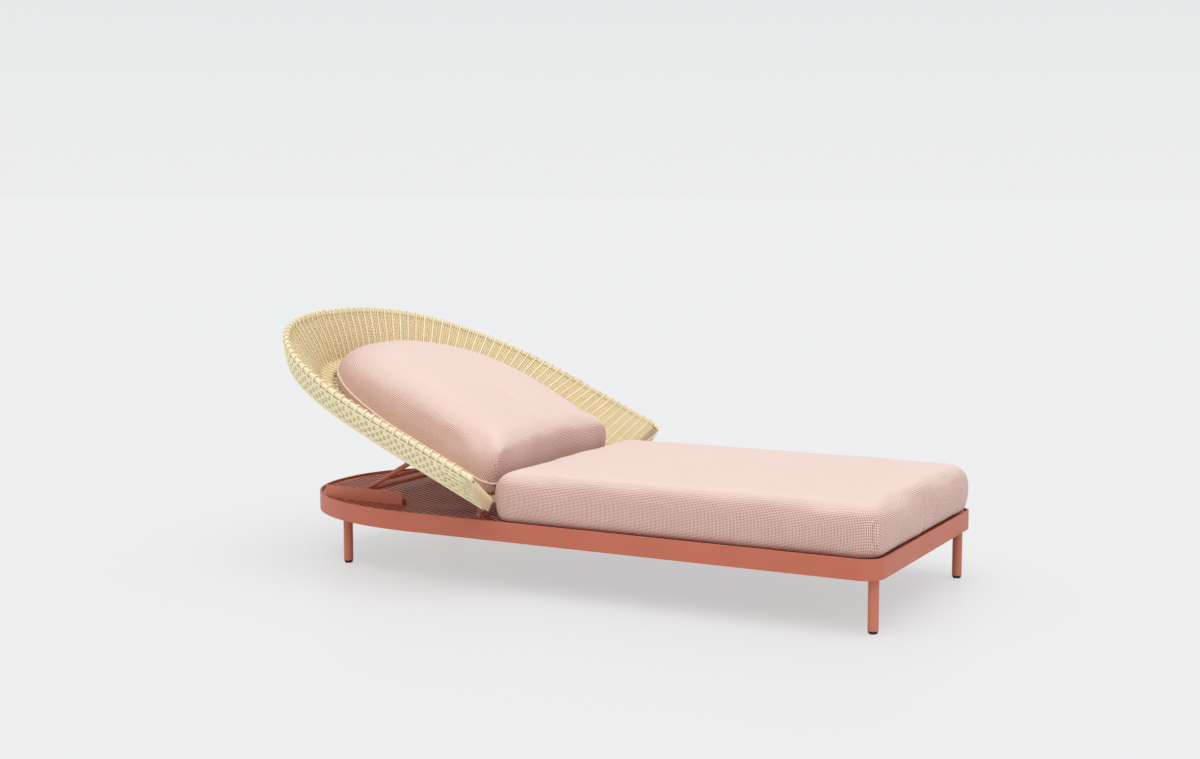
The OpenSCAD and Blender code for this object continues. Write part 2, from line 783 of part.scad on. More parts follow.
hoop_pts = [for (k = stations) base_pts[k] - hoop_in * outward[k]];
hoop_normals = [for (k = stations) path_normal(hoop_pts, k)];
rim_normals = [for (k = stations) path_normal(rim_pts, k)];

module base_hoop() {
    color(terracotta) on_back() skin(hoop_rings(hoop_pts, hoop_normals, hoop_up, base_hoop_r, 12));
}

module rim_hoop() {
    color("silver") on_back() skin(hoop_rings(rim_pts, rim_normals, dish_rim_up, rim_hoop_r, 8));
}

module rim_roll() {
    color(straw) on_back() difference() {
        skin(hoop_rings(rim_pts, rim_normals, dish_rim_up, roll_r, 12));
        skin(hoop_rings(rim_pts, rim_normals, dish_rim_up, rim_hoop_r + seat_gap, 8));
    }
}

module woven_wall() {
    color(straw) on_back() skin([for (k = stations) concat(
        [for (g = wall_steps) wall_point(k, g * wall_top(k), -weave_t / 2)],
        [for (i = [len(wall_steps) - 1:-1:0]) wall_point(k, wall_steps[i] * wall_top(k), weave_t / 2)])]);
}

module stakes() {
    low = weave_t / 2 + 2 * seat_gap;
    high = low + stake_h;
    w = stake_w / 2;
    color(straw) on_back() for (k = stations) if (k > 0 && k < len(stations) - 1)
        skin([for (i = [1:len(wall_steps) - 1]) let (t = min(wall_steps[i], 0.99) * wall_top(k))
            [wall_point(k, t, low, -w), wall_point(k, t, low, w),
                wall_point(k, t, high, 0.6 * w), wall_point(k, t, high, -0.6 * w)]]);
}

// Point on the skirt that hangs from the rim: t is 0 at its top, and side 1 is its outer face
function skirt_point(k, t, side) =
    let (
        out = skirt_out * (1 - t) - skirt_in * t + skirt_swell * sin(180 * t) + side * skirt_t / 2,
        p = rim_pts[k] + out * outward[k],
        top = dish_rim_up - roll_r - seat_gap)
    [-p.x, p.y, top + (skirt_up - top) * t];

module woven_skirt() {
    color(straw) on_back() skin([for (k = stations) concat(
        [for (t = [1, 0.5, 0]) skirt_point(k, t, 1)],
        [for (t = [0, 0.5, 1]) skirt_point(k, t, -1)])]);
}

// Wrapped weave that closes the space between the wall and the skirt at a lower end
module end_roll(s) {
    y0 = dish_base_half + end_in;
    color(straw) on_back() translate([dish_low + seat_gap, 0, 0]) rotate([90, 0, 90])
        linear_extrude(end_t) offset(r = end_r) polygon([
            [s * y0, dish_base_up + end_r],
            [s * (dish_rim_half - skirt_in - end_r), skirt_up + end_r],
            [s * (dish_rim_half - end_r - 2), dish_rim_up - end_r - 5],
            [s * y0, end_up - end_r]]);
}

module end_rolls() {
    end_roll(-1);
    end_roll(1);
}

module woven_floor() {
    edge = [for (k = stations) hoop_pts[k] - (base_hoop_r + 2 * seat_gap) * outward[k]];
    color(straw) on_back() translate([0, 0, floor_low]) linear_extrude(floor_t)
        polygon([for (p = edge) [-p.x, p.y]]);
}

// Half the clear width between the sides of the base hoop, at the distance u up the back
function hoop_half(u) =
    let (
        l = dish_base_round - hoop_in,
        d = max(u - dish_base_tip + dish_base_round, 0) / l)
    (dish_base_half - hoop_in) * pow(1 - pow(d, dish_base_power), 1 / dish_base_power)
    - base_hoop_r - 2 * seat_gap;

module cross_tube(u) {
    half = hoop_half(u + cross_tube_r);
    color(terracotta) on_back() translate([-u, 0, cross_tube_up])
        tube_across(cross_tube_r, cross_tube_r - 2, -half, half);
}

module cross_tube_low() {
    cross_tube(low_tube_u);
}

module cross_tube_mid() {
    cross_tube(prop_u);
}

module cross_tube_high() {
    cross_tube(high_tube_u);
}

// Plate that hangs from a cross tube, with a bored round end
module lug(u0, up0, u1, up1, r, bore_r, y0, y1) {
    way = atan2(up1 - up0, u1 - u0);
    l = norm([u1 - u0, up1 - up0]);
    difference() {
        translate([-u0, y1, up0]) rotate([90, 0, 0]) linear_extrude(y1 - y0) rotate(180 - way) union() {
            circle(r = r);
            translate([0, -r]) square([l, 2 * r]);
        }
        translate([-u0, 0, up0]) across(bore_r, y0 - 1, y1 + 1);
        translate([-u1, 0, up1]) across(cross_tube_r + seat_gap, y0 - 1, y1 + 1);
    }
}

module hinge_lug(s) {
    color(terracotta) on_back()
        lug(0, 0, low_tube_u, cross_tube_up, lug_r, bush_r + pin_gap,
            s * hinge_y - lug_t / 2, s * hinge_y + lug_t / 2);
}

module hinge_lug_near() {
    hinge_lug(-1);
}

module hinge_lug_far() {
    hinge_lug(1);
}

module hinge_bushes() {
    color(nylon) on_back() for (s = [-1, 1]) translate([0, s * hinge_y, 0])
        tube_across(bush_r, hinge_pin_d / 2 + pin_gap, -lug_t / 2 - 0.6, lug_t / 2 + 0.6);
}

prop_lug_in = prop_r + 1.5;

module prop_lugs() {
    color(terracotta) on_back() for (s = [-1, 1], side = [-1, 1])
        let (y = s * prop_arm_y + side * (prop_lug_in + prop_lug_t / 2))
        lug(prop_u, prop_up, prop_u, cross_tube_up, prop_lug_r, prop_pin_d / 2 + pin_gap,
            y - prop_lug_t / 2, y + prop_lug_t / 2);
}

module prop_pins() {
    reach = prop_lug_in + prop_lug_t;
    color("silver") on_back() for (s = [-1, 1]) translate([-prop_u, s * prop_arm_y, prop_up]) {
        across(prop_pin_d / 2, -reach - seat_gap, reach + seat_gap);
        across(prop_pin_d / 2 + 1.5, s > 0 ? -reach - seat_gap - 2 : reach + seat_gap,
            s > 0 ? -reach - seat_gap : reach + seat_gap + 2);
    }
}

// Prop

module prop_arm(s) {
    bush_bore = prop_pin_d / 2 + 2 * pin_gap + 1.5;
    color(terracotta) on_prop() translate([0, s * prop_arm_y, 0]) difference() {
        union() {
            rotate([0, -90, 0]) cylinder(h = prop_l, r = prop_r);
            across(prop_r + 1, -prop_r, prop_r);
        }
        across(bush_bore, -2 * prop_r, 2 * prop_r);
        translate([-prop_l, 0, 0]) across(prop_r + seat_gap, -2 * prop_r, 2 * prop_r);
        translate([-prop_l + brace_up, 0, 0])
            across(0.75 * prop_r + seat_gap, s > 0 ? -2 * prop_r : 0, s > 0 ? 0 : 2 * prop_r);
    }
}

module prop_arm_near() {
    prop_arm(-1);
}

module prop_arm_far() {
    prop_arm(1);
}

module prop_bar() {
    color(terracotta) on_prop() translate([-prop_l, 0, 0]) across(prop_r, -bar_end_y, bar_end_y);
}

module prop_brace() {
    half = prop_arm_y - seat_gap;
    color(terracotta) on_prop() translate([-prop_l + brace_up, 0, 0]) across(0.75 * prop_r, -half, half);
}

module prop_bushes() {
    color(nylon) on_prop() for (s = [-1, 1]) translate([0, s * prop_arm_y, 0])
        tube_across(prop_pin_d / 2 + pin_gap + 1.5, prop_pin_d / 2 + pin_gap, -prop_r - 1, prop_r + 1);
}

module bar_sleeves() {
    y0 = prop_arm_y + prop_r + 2;
    color(black) on_prop() for (s = [-1, 1]) translate([-prop_l, 0, 0])
        tube_across(sleeve_r, prop_r + pin_gap, s > 0 ? y0 : -bar_end_y, s > 0 ? bar_end_y : -y0);
}

// Cushions

// Outline of the seat cushion, drawn in by d and pulled in between its corners
function seat_ring(d, z) =
    let (
        r = max(seat_corner_r - d, 12),
        x0 = seat_x0 + d,
        x1 = seat_x1 - d,
        h = seat_half - d,
        plan = concat(
            arc([x1 - r, r - h], r, -90, 0, 4),
            [for (i = [1:3]) [x1, (h - r) * (i / 2 - 1)]],
            arc([x1 - r, h - r], r, 0, 90, 4),
            [for (i = [1:7]) [x1 - r - (x1 - x0 - 2 * r) * i / 8, h]],
            arc([x0 + r, h - r], r, 90, 180, 4),
            [for (i = [1:3]) [x0, (h - r) * (1 - i / 2)]],
            arc([x0 + r, r - h], r, 180, 270, 4),
            [for (i = [1:7]) [x0 + r + (x1 - x0 - 2 * r) * i / 8, -h]]),
        mid_x = (x0 + x1) / 2,
        l = (x1 - x0) / 2)
    [for (p = plan) let (
        along = max(0, 1 - pow((p.x - mid_x) / l, 2)),
        over = max(0, 1 - pow(p.y / h, 2)))
        [p.x - sign(p.x - mid_x) * seat_waist * over * pow(abs(p.x - mid_x) / l, 6),
            p.y - sign(p.y) * seat_waist * along * pow(abs(p.y) / h, 6), z]];

module seat_cushion() {
    top = seat_low + seat_t;
    edge = top - seat_crown;
    color(blush) in_place() skin([
        seat_ring(seat_tuck, seat_low), seat_ring(0.2 * seat_tuck, seat_low + 9), seat_ring(0, seat_low + 32),
        seat_ring(0, edge - 1.8 * seat_edge_r), seat_ring(2, edge - seat_edge_r),
        seat_ring(0.3 * seat_edge_r + 2, edge - 0.35 * seat_edge_r), seat_ring(seat_edge_r + 2, edge),
        seat_ring(0.23 * seat_rise_w, edge + 0.45 * seat_crown),
        seat_ring(0.57 * seat_rise_w, edge + 0.8 * seat_crown), seat_ring(seat_rise_w, edge + seat_crown)]);
}

// Crown of the back cushion, above its piping, at the distance u up the back
function back_rise(u) =
    let (t = (u - back_low) / (back_tip - back_low))
    back_end_crown + (back_crown - back_end_crown) * sin(180 * pow(t, 0.85));

// Ring of the back cushion, drawn in by d and then by a share of the way to its middle line.
// Below the piping the ring takes the height w, and above it the crown.
function back_ring(d, share, w, crowned) =
    let (
        start = back_tip - back_round,
        plan = concat(
            [for (i = [0:3]) [back_low, back_half * (i + 0.5) / 4]],
            [for (i = [0:5]) [back_low + (start - back_low) * i / 6, back_half]],
            [for (i = [0:23]) let (a = 90 - 180 * i / 23, r = round_end(a, back_round, back_half, back_power))
                [start + r * cos(a), r * sin(a)]],
            [for (i = [5:-1:0]) [back_low + (start - back_low) * i / 6, -back_half]],
            [for (i = [3:-1:0]) [back_low, -back_half * (i + 0.5) / 4]]))
    [for (p = plan) let (
        middle = [min(max(p.x, back_low + 130), back_tip - back_half), 0],
        far = norm(p - middle),
        q = middle + (p - middle) * (1 - share) * (1 - d / far),
        near_end = pow(max(0, 1 - (p.x - back_low) / 200), 2),
        width = back_dome_w + (back_end_w - back_dome_w) * near_end,
        rise = pow(1 - pow(1 - min(norm(p - q) / width, 1), 2.2), 0.55),
        up = crowned ? piping_up + rise * back_rise(q.x) : w,
        lean = back_lean * (up - cushion_low) * pow(max(0, 1 - (q.x - back_low) / back_lean_l), 1.5))
        [-q.x - lean, q.y, up]];

module back_cushion() {
    color(blush) on_back() skin(concat(
        [back_ring(back_tuck, 0, cushion_low), back_ring(0.25 * back_tuck, 0, cushion_low + 8),
            back_ring(5, 0, cushion_low + 0.5 * back_band), back_ring(0, 0, piping_up)],
        [for (d = [4, 12]) back_ring(d, 0, 0, true)],
        [for (share = [0.08, 0.18, 0.32, 0.48, 0.66, 0.84, 0.96]) back_ring(12, share, 0, true)]));
}

rim_band();
deck_sheet();
cross_beam_head();
cross_beam_hinge();
cross_beam_middle();
cross_beam_foot();
long_beams();
leg_sockets();
leg_collars();
leg_head_near();
leg_head_far();
leg_foot_near();
leg_foot_far();
leg_studs();
glides();
rail_near();
rail_far();
rack_near();
rack_far();
rail_screws();
hinge_bracket_near();
hinge_bracket_far();
bracket_screws();
hinge_pins();
seat_cushion();
base_hoop();
cross_tube_low();
cross_tube_mid();
cross_tube_high();
hinge_lug_near();
hinge_lug_far();
hinge_bushes();
prop_lugs();
prop_pins();
rim_hoop();
rim_roll();
end_rolls();
woven_wall();
woven_skirt();
woven_floor();
stakes();
back_cushion();
prop_arm_near();
prop_arm_far();
prop_bar();
prop_brace();
prop_bushes();
bar_sleeves();
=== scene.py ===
# %% [markdown]
# # A sun lounger with a woven dish for a back
# The lounger is a low painted platform on four legs, with a thick seat cushion. Its back is a wide
# dish woven from straw-coloured cane, and a second cushion lies in the dish. The rigid frame comes
# from the CAD model, which gives every place and size. What this file adds is what CAD leaves
# plain: the weave, the fine holes of the deck, the sewn cushions and the finishes.

# %% Load the frame
import json
import math

import bmesh
import bpy
import numpy as np
from mathutils import Matrix, Vector


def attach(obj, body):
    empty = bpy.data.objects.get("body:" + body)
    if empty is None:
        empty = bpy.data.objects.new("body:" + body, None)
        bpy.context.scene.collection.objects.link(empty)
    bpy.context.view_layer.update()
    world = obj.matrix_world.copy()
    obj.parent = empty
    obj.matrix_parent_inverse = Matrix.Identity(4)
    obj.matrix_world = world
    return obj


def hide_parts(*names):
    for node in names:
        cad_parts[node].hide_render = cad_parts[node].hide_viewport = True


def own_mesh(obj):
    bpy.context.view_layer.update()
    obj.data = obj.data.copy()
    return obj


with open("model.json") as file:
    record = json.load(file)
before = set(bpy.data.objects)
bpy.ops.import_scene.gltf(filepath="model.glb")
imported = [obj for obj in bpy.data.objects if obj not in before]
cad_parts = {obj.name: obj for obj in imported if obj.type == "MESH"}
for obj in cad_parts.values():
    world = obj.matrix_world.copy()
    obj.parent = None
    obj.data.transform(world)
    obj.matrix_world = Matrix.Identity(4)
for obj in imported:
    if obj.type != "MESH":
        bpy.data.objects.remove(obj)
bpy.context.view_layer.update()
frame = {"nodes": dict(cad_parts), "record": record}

# %% [markdown]
# ## Camera
# A camera can be placed by eye, or worked out from edges whose real length is known. Here it was
# worked out: the platform's outline, its legs and the dish's rim fix where a pinhole camera stood.

# %% Camera
camera = bpy.data.objects.new("camera", bpy.data.cameras.new("camera"))
bpy.context.scene.collection.objects.link(camera)
camera.location = (2.5625, -4.8641, 1.2059)
camera.rotation_euler = (math.radians(90) - 0.1085, 0, 0.4892)
camera.data.sensor_width = 36
camera.data.lens = 52.509
bpy.context.scene.camera = camera
bpy.context.scene.view_settings.view_transform = "Standard"


# %% [markdown]
# ## Helpers for materials
# A finish is a small net of shader nodes. These helpers add a node, set its inputs and join it to
# others, so that each finish below reads as a list of what it is made of.

# %% Node helpers
FLOAT, VECTOR = "NodeSocketFloat", "NodeSocketVector"


def add_node(tree, kind, values=None, links=None, **settings):
    """A new node: settings are its options, values its inputs, and links what feeds its inputs."""
    node = tree.nodes.new(kind)
    for key, value in settings.items():
        setattr(node, key, value)
    for key, value in (values or {}).items():
        node.inputs[key].default_value = value
    for key, source in (links or {}).items():
        tree.links.new(source, node.inputs[key])
    return node


def number(tree, operation, a, b=None, c=None):
    """A Math node on sockets or plain numbers."""
    node = tree.nodes.new("ShaderNodeMath")
    node.operation = operation
    for i, value in enumerate((a, b, c)):
        if value is None:
            continue
        if isinstance(value, (int, float)):
            node.inputs[i].default_value = value
        else:
            tree.links.new(value, node.inputs[i])
    return node.outputs[0]


def pick(tree, which, a, b):
    """Socket a where which is 1, and socket b where it is 0."""
    return number(tree, "MULTIPLY_ADD", number(tree, "SUBTRACT", a, b), which, b)


def mix_colour(tree, share, a, b):
    """A colour mix; a and b are sockets or colours."""
    node = tree.nodes.new("ShaderNodeMix")
    node.data_type = "RGBA"
    for key, value in ((0, share), (6, a), (7, b)):
        if isinstance(value, (int, float, tuple)):
            node.inputs[key].default_value = value
        else:
            tree.links.new(value, node.inputs[key])
    return node.outputs[2]


def stretch(tree, value, low, high, to_low=0.0, to_high=1.0, **settings):
    """A Map Range node, which stretches low to high over another range."""
    return add_node(tree, "ShaderNodeMapRange",
                    {"From Min": low, "From Max": high, "To Min": to_low, "To Max": to_high},
                    {"Value": value}, **settings).outputs[0]


def bump(tree, height, strength, distance):
    """A Bump node's normals."""
    return add_node(tree, "ShaderNodeBump", {"Strength": strength, "Distance": distance},
                    {"Height": height}).outputs[0]


def feed(tree, node, sources):
    """Joins each source to the input of its name."""
    for key, source in sources.items():
        tree.links.new(source, node.inputs[key])


def new_material(name, roughness=0.5, **shader_values):
    """A material with one Principled BSDF; returns the material, its tree and the shader."""
    material = bpy.data.materials.new(name)
    material.use_nodes = True
    tree = material.node_tree
    shader = tree.nodes["Principled BSDF"]
    shader.inputs["Roughness"].default_value = roughness
    for key, value in shader_values.items():
        shader.inputs[key.replace("_", " ")].default_value = value
    return material, tree, shader


def new_group(name, inputs, outputs):
    """An empty node group with named sockets; returns the group, its input and its output node."""
    group = bpy.data.node_groups.new(name, "ShaderNodeTree")
    for key, kind, value in inputs:
        socket = group.interface.new_socket(key, in_out="INPUT", socket_type=kind)
        if value is not None:
            socket.default_value = value
    for key in outputs:
        group.interface.new_socket(key, in_out="OUTPUT", socket_type=FLOAT)
    return group, group.nodes.new("NodeGroupInput"), group.nodes.new("NodeGroupOutput")


def use_group(tree, group, values=None, links=None):
    return add_node(tree, "ShaderNodeGroup", values, links, node_tree=group)


def object_position(tree):
    return tree.nodes.new("ShaderNodeTexCoord").outputs["Object"]


# %% [markdown]
# ## Shared effects
# Two effects serve several finishes. One is a fine skin: soft patches of tone and a grain that
# catches light, for powder coat, cane and moulded parts. The other is the cushions' two-tone cloth.
# Both are node groups, so that their values can differ in each finish.

# %% Fine skin
skin, skin_in, skin_out = new_group(
    "fine skin",
    [("Vector", VECTOR, None), ("Patch scale", FLOAT, 6.0), ("Grain scale", FLOAT, 900.0)],
    ["Patches", "Grain"])
for key, scale, detail, roughness in (("Patches", "Patch scale", 3.0, 0.55),
                                      ("Grain", "Grain scale", 2.0, 0.6)):
    noise = add_node(skin, "ShaderNodeTexNoise", {"Detail": detail, "Roughness": roughness},
                     {"Vector": skin_in.outputs["Vector"], "Scale": skin_in.outputs[scale]})
    feed(skin, skin_out, {key: noise.outputs["Fac"]})

# %% [markdown]
# The cloth is woven from a pale and a brick-coloured yarn. Seen close, small slanted floats of both
# alternate, and from afar they run together in diagonals. The pattern needs a flat pair of
# coordinates, and a cushion has none. So the group picks the two that lie along the surface, by the
# way that the surface faces.

# %% Two-tone cloth
cloth, cloth_in, cloth_out = new_group(
    "two-tone cloth",
    [("Vector", VECTOR, None), ("Facing", VECTOR, None), ("Pitch", FLOAT, 0.006)],
    ["Brick", "Height", "Painted top light mask"])
place, facing = (
    add_node(cloth, "ShaderNodeSeparateXYZ", links={"Vector": cloth_in.outputs[key]}).outputs
    for key in ("Vector", "Facing"))
along_x, along_y, along_z = (number(cloth, "ABSOLUTE", facing[i]) for i in range(3))
is_top = number(cloth, "GREATER_THAN", along_z, 0.72)
is_end = number(cloth, "GREATER_THAN", along_x, along_y)
across_end = pick(cloth, is_end, place["Y"], place["X"])
rise = pick(cloth, is_top, place["Y"], place["Z"])
flat_u = pick(cloth, is_top, place["X"], across_end)
turns_u, turns_v = (number(cloth, "DIVIDE", q, cloth_in.outputs["Pitch"]) for q in (flat_u, rise))
wave_a, wave_b = (
    number(cloth, "SINE", number(cloth, "MULTIPLY", number(cloth, how, turns_u, turns_v), math.tau))
    for how in ("ADD", "SUBTRACT"))
floats = number(cloth, "MULTIPLY", wave_a, wave_b)
slubs = add_node(cloth, "ShaderNodeTexNoise", {"Scale": 420.0, "Detail": 2.0},
                 {"Vector": cloth_in.outputs["Vector"]})
rough = number(cloth, "MULTIPLY_ADD", slubs.outputs["Fac"], 0.5, -0.25)
# The upward-facing mask among these outputs paints the cushions' tops lighter, as where light falls
# from above: painted light.
feed(cloth, cloth_out, {
    "Brick": stretch(cloth, number(cloth, "ADD", floats, rough), -0.20, 0.34),
    "Height": number(cloth, "ABSOLUTE", floats),
    "Painted top light mask": stretch(cloth, facing["Z"], 0.50, 0.97)})


# %% [markdown]
# ## Finishes
# The metal is powder coated in terracotta: matt, with the faint dimples of orange peel. Sharp
# edges are painted a little paler, a painted highlight where an edge catches the light. Pointiness
# finds those edges. The walls of the deck's small holes are painted darker, painted shade for the
# shade inside the holes; they are the faces that stand upright.

# %% Painted, steel and moulded finishes
def skinned(name, colour, dark, roughness, grain_scale=900.0, depth=0.0002, metallic=0.0):
    """A finish of one tone that drifts to a darker one in soft patches, with a fine grain."""
    material, tree, shader = new_material(name, roughness, Metallic=metallic)
    fine = use_group(tree, skin, {"Patch scale": 6.0, "Grain scale": grain_scale},
                     {"Vector": object_position(tree)})
    patches = fine.outputs["Patches"]
    base = mix_colour(tree, patches, (*colour, 1), (*dark, 1))
    feed(tree, shader, {
        "Base Color": base, "Normal": bump(tree, fine.outputs["Grain"], 0.5, depth),
        "Roughness": stretch(tree, patches, 0.0, 1.0, roughness - 0.06, roughness + 0.06)})
    return material, tree, shader, base


paint, tree, shader, base = skinned(
    "terracotta powder coat", (0.59, 0.158, 0.090), (0.52, 0.132, 0.074), 0.48, depth=0.0004)
# Sharp edges are painted paler: a painted highlight, as where edges catch the light.
edge = stretch(tree, tree.nodes.new("ShaderNodeNewGeometry").outputs["Pointiness"],
               0.53, 0.62, to_high=0.35)
feed(tree, shader, {"Base Color": mix_colour(tree, edge, base, (0.68, 0.27, 0.18, 1))})
pierced_paint, tree, shader, base = skinned(
    "pierced sheet's powder coat", (0.58, 0.165, 0.098), (0.51, 0.138, 0.080), 0.48, depth=0.0004)
sheet_facing = add_node(tree, "ShaderNodeSeparateXYZ",
                        links={"Vector": tree.nodes.new("ShaderNodeTexCoord").outputs["Normal"]})
# Upright faces, the walls of the holes and the sheet's outer edge, are painted dark: painted shade.
painted_hole_shade = number(tree, "LESS_THAN", number(tree, "ABSOLUTE", sheet_facing.outputs["Z"]), 0.6)
feed(tree, shader, {"Base Color": mix_colour(tree, painted_hole_shade, base, (0.13, 0.022, 0.014, 1))})
steel = skinned("stainless steel", (0.60, 0.60, 0.59), (0.48, 0.48, 0.48), 0.34,
                grain_scale=1500.0, depth=0.0001, metallic=1.0)[0]
nylon = skinned("grey nylon", (0.58, 0.56, 0.53), (0.50, 0.48, 0.45), 0.5)[0]
rubber = skinned("black glide", (0.022, 0.021, 0.020), (0.014, 0.014, 0.014), 0.6)[0]

# %% [markdown]
# Cane of this kind is an extruded strand with fine lines along it and a slightly waxy gloss. Each
# strand below carries its own tone as an attribute, so that neighbours differ as real ones do.

# %% Cane finish
def cane(name, pale, deep, roughness=0.52):
    material, tree, shader = new_material(name, roughness)
    tone = add_node(tree, "ShaderNodeAttribute", attribute_name="tone")
    fine = use_group(tree, skin, {"Patch scale": 35.0, "Grain scale": 1400.0},
                     {"Vector": object_position(tree)})
    share = number(tree, "MULTIPLY_ADD", fine.outputs["Patches"], 0.6,
                   number(tree, "MULTIPLY_ADD", tone.outputs["Fac"], 0.7, -0.2))
    feed(tree, shader, {"Base Color": mix_colour(tree, share, (*pale, 1), (*deep, 1)),
                        "Normal": bump(tree, fine.outputs["Grain"], 0.5, 0.0003)})
    return material


pale_cane = cane("pale cane", (0.98, 0.90, 0.63), (0.94, 0.80, 0.49))
warm_cane = cane("warm cane", (0.97, 0.83, 0.52), (0.90, 0.69, 0.37))
# The shaded cane is a dark colour for painted shade, put where only shade falls: behind the weave
# and on the plates of the lower ends.
painted_shade_cane = cane("shaded cane", (0.46, 0.30, 0.12), (0.34, 0.21, 0.08), 0.6)

# %% [markdown]
# The cushions' cloth shows more brick where it stands upright. On the top less brick is painted in,
# so the top is painted lighter, as where light falls from above: painted light. On the back the
# pattern is turned to lie along the dish.

# %% Cushion finishes
pale_yarn, brick_yarn = (0.95, 0.74, 0.66), (0.32, 0.075, 0.04)


def cushion_cloth(name, turn, brick_side, brick_top_painted_lighter):
    """Cloth whose pattern is turned with its cushion, with brick on the sides and less on top:
    painted light.
    """
    material, tree, shader = new_material(name, 0.85, Sheen_Weight=0.25, Sheen_Roughness=0.5)
    texture = tree.nodes.new("ShaderNodeTexCoord")
    turned, faced = (add_node(tree, "ShaderNodeVectorRotate", {"Angle": turn},
                              {"Vector": texture.outputs[key]}, rotation_type="Y_AXIS").outputs[0]
                     for key in ("Object", "Normal"))
    weave = use_group(tree, cloth, {"Pitch": 0.0085}, {"Vector": turned, "Facing": faced})
    # Less brick on the top paints it lighter, as where light falls from above: painted light.
    brick_share_painted_top = stretch(tree, weave.outputs["Painted top light mask"], 0.0, 1.0, brick_side, brick_top_painted_lighter)
    share = number(tree, "MULTIPLY", weave.outputs["Brick"], brick_share_painted_top)
    fine = use_group(tree, skin, {"Patch scale": 5.0, "Grain scale": 1200.0},
                     {"Vector": texture.outputs["Object"]})
    worn_yarn = tuple(0.95 * c for c in pale_yarn)
    drift = mix_colour(tree, fine.outputs["Patches"], (*pale_yarn, 1), (*worn_yarn, 1))
    height = number(tree, "MULTIPLY_ADD", fine.outputs["Grain"], 0.4, weave.outputs["Height"])
    feed(tree, shader, {"Base Color": mix_colour(tree, share, drift, (*brick_yarn, 1)),
                        "Normal": bump(tree, height, 0.45, 0.0008)})
    return material


recline = math.radians(24.1)
seat_cloth = cushion_cloth("seat cloth", 0.0, 1.0, 0.14)
back_cloth = cushion_cloth("back cloth", -recline, 1.0, 0.16)
welt_cloth = cushion_cloth("piping cloth", -recline, 0.15, 0.05)

# %% [markdown]
# Each CAD node takes the finish of its slot. The screws of the hinge brackets went in before the
# frame was coated, so they are painted over.

# %% Dress the frame's rigid nodes
FINISH_OF_SLOT = {"paint": paint, "steel": steel, "nylon": nylon, "glide_black": rubber,
                  "straw": warm_cane, "cushion_cloth": seat_cloth}
for part in frame["record"]["subparts"]:
    node = frame["nodes"][part["node"]]
    finish = paint if part["node"] == "bracket_screws" else FINISH_OF_SLOT[part["material_slot"]]
    for material_slot in node.material_slots:
        material_slot.material = finish
print("dressed", len(frame["nodes"]), "nodes")


# %% [markdown]
# ## Helpers for meshes
# A blunt way to select is by place: enter edit mode, read each point or face, and mark what is
# wanted. Everything is deselected first, because an operator acts on all that is selected.

# %% Mesh helpers
def unit(v):
    """Directions of length one."""
    return v / np.linalg.norm(v, axis=-1, keepdims=True)


def start_clean():
    if bpy.context.object and bpy.context.object.mode != "OBJECT":
        bpy.ops.object.mode_set(mode="OBJECT")
    bpy.ops.object.select_all(action="DESELECT")


def make_active(piece):
    start_clean()
    piece.select_set(True)
    bpy.context.view_layer.objects.active = piece


def select_faces(piece, wanted):
    """In edit mode, selects the faces whose middle makes wanted true, and nothing else."""
    bpy.ops.mesh.select_all(action="DESELECT")
    shape = bmesh.from_edit_mesh(piece.data)
    for face in shape.faces:
        if wanted(face.calc_center_median()):
            face.select_set(True)
    bmesh.update_edit_mesh(piece.data)


def add_modifier(piece, kind, **settings):
    """Adds a modifier and applies it at once."""
    make_active(piece)
    modifier = piece.modifiers.new(kind.lower(), kind)
    for key, value in settings.items():
        setattr(modifier, key, value)
    bpy.ops.object.modifier_apply(modifier=modifier.name)


def face_outwards(piece):
    """Turns the faces of a closed piece outwards."""
    make_active(piece)
    bpy.ops.object.mode_set(mode="EDIT")
    bpy.ops.mesh.select_all(action="SELECT")
    bpy.ops.mesh.normals_make_consistent(inside=False)
    bpy.ops.object.mode_set(mode="OBJECT")


def finish_piece(piece, name, body, material, nodes=()):
    """Names a finished piece, gives it its material, and ties it to its body and its CAD nodes."""
    piece.name = name
    piece.data.materials.clear()
    piece.data.materials.append(material)
    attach(piece, body)
    if nodes:
        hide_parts(*nodes)
    print(name, len(piece.data.polygons), "faces")
    return piece


def mesh_piece(name, points, faces, tone=None):
    """A smooth mesh object from points and faces, with an optional tone for each point."""
    mesh = bpy.data.meshes.new(name)
    mesh.from_pydata(points, [], faces)
    if tone is not None:
        layer = mesh.attributes.new("tone", "FLOAT", "POINT")
        layer.data.foreach_set("value", np.asarray(tone, np.float32).ravel())
    mesh.polygons.foreach_set("use_smooth", [True] * len(mesh.polygons))
    mesh.update()
    piece = bpy.data.objects.new(name, mesh)
    bpy.context.scene.collection.objects.link(piece)
    return piece


# %% [markdown]
# ## The perforated deck
# The deck is sheet steel with about four thousand round holes in staggered rows. Cutting each hole
# with a boolean would be slow and leave poor faces. The holes tile, so one six-sided cell with a
# round hole is modelled, and copied in rows. The plain border is then filled between the cells and
# the platform's outline, and the sheet gets its thickness last.

# %% One cell of the deck
origin_x = 0.016917
rim_inside = 0.0063
deck_top = 0.207
deck_t = 0.003
platform_half_l = 1.04
platform_half_w = 0.45
head_l = 0.578
head_power = 2.19
foot_r = 0.06
hole_pitch = 0.0223
hole_r = 0.0072
cell_corner = hole_pitch / math.sqrt(3)

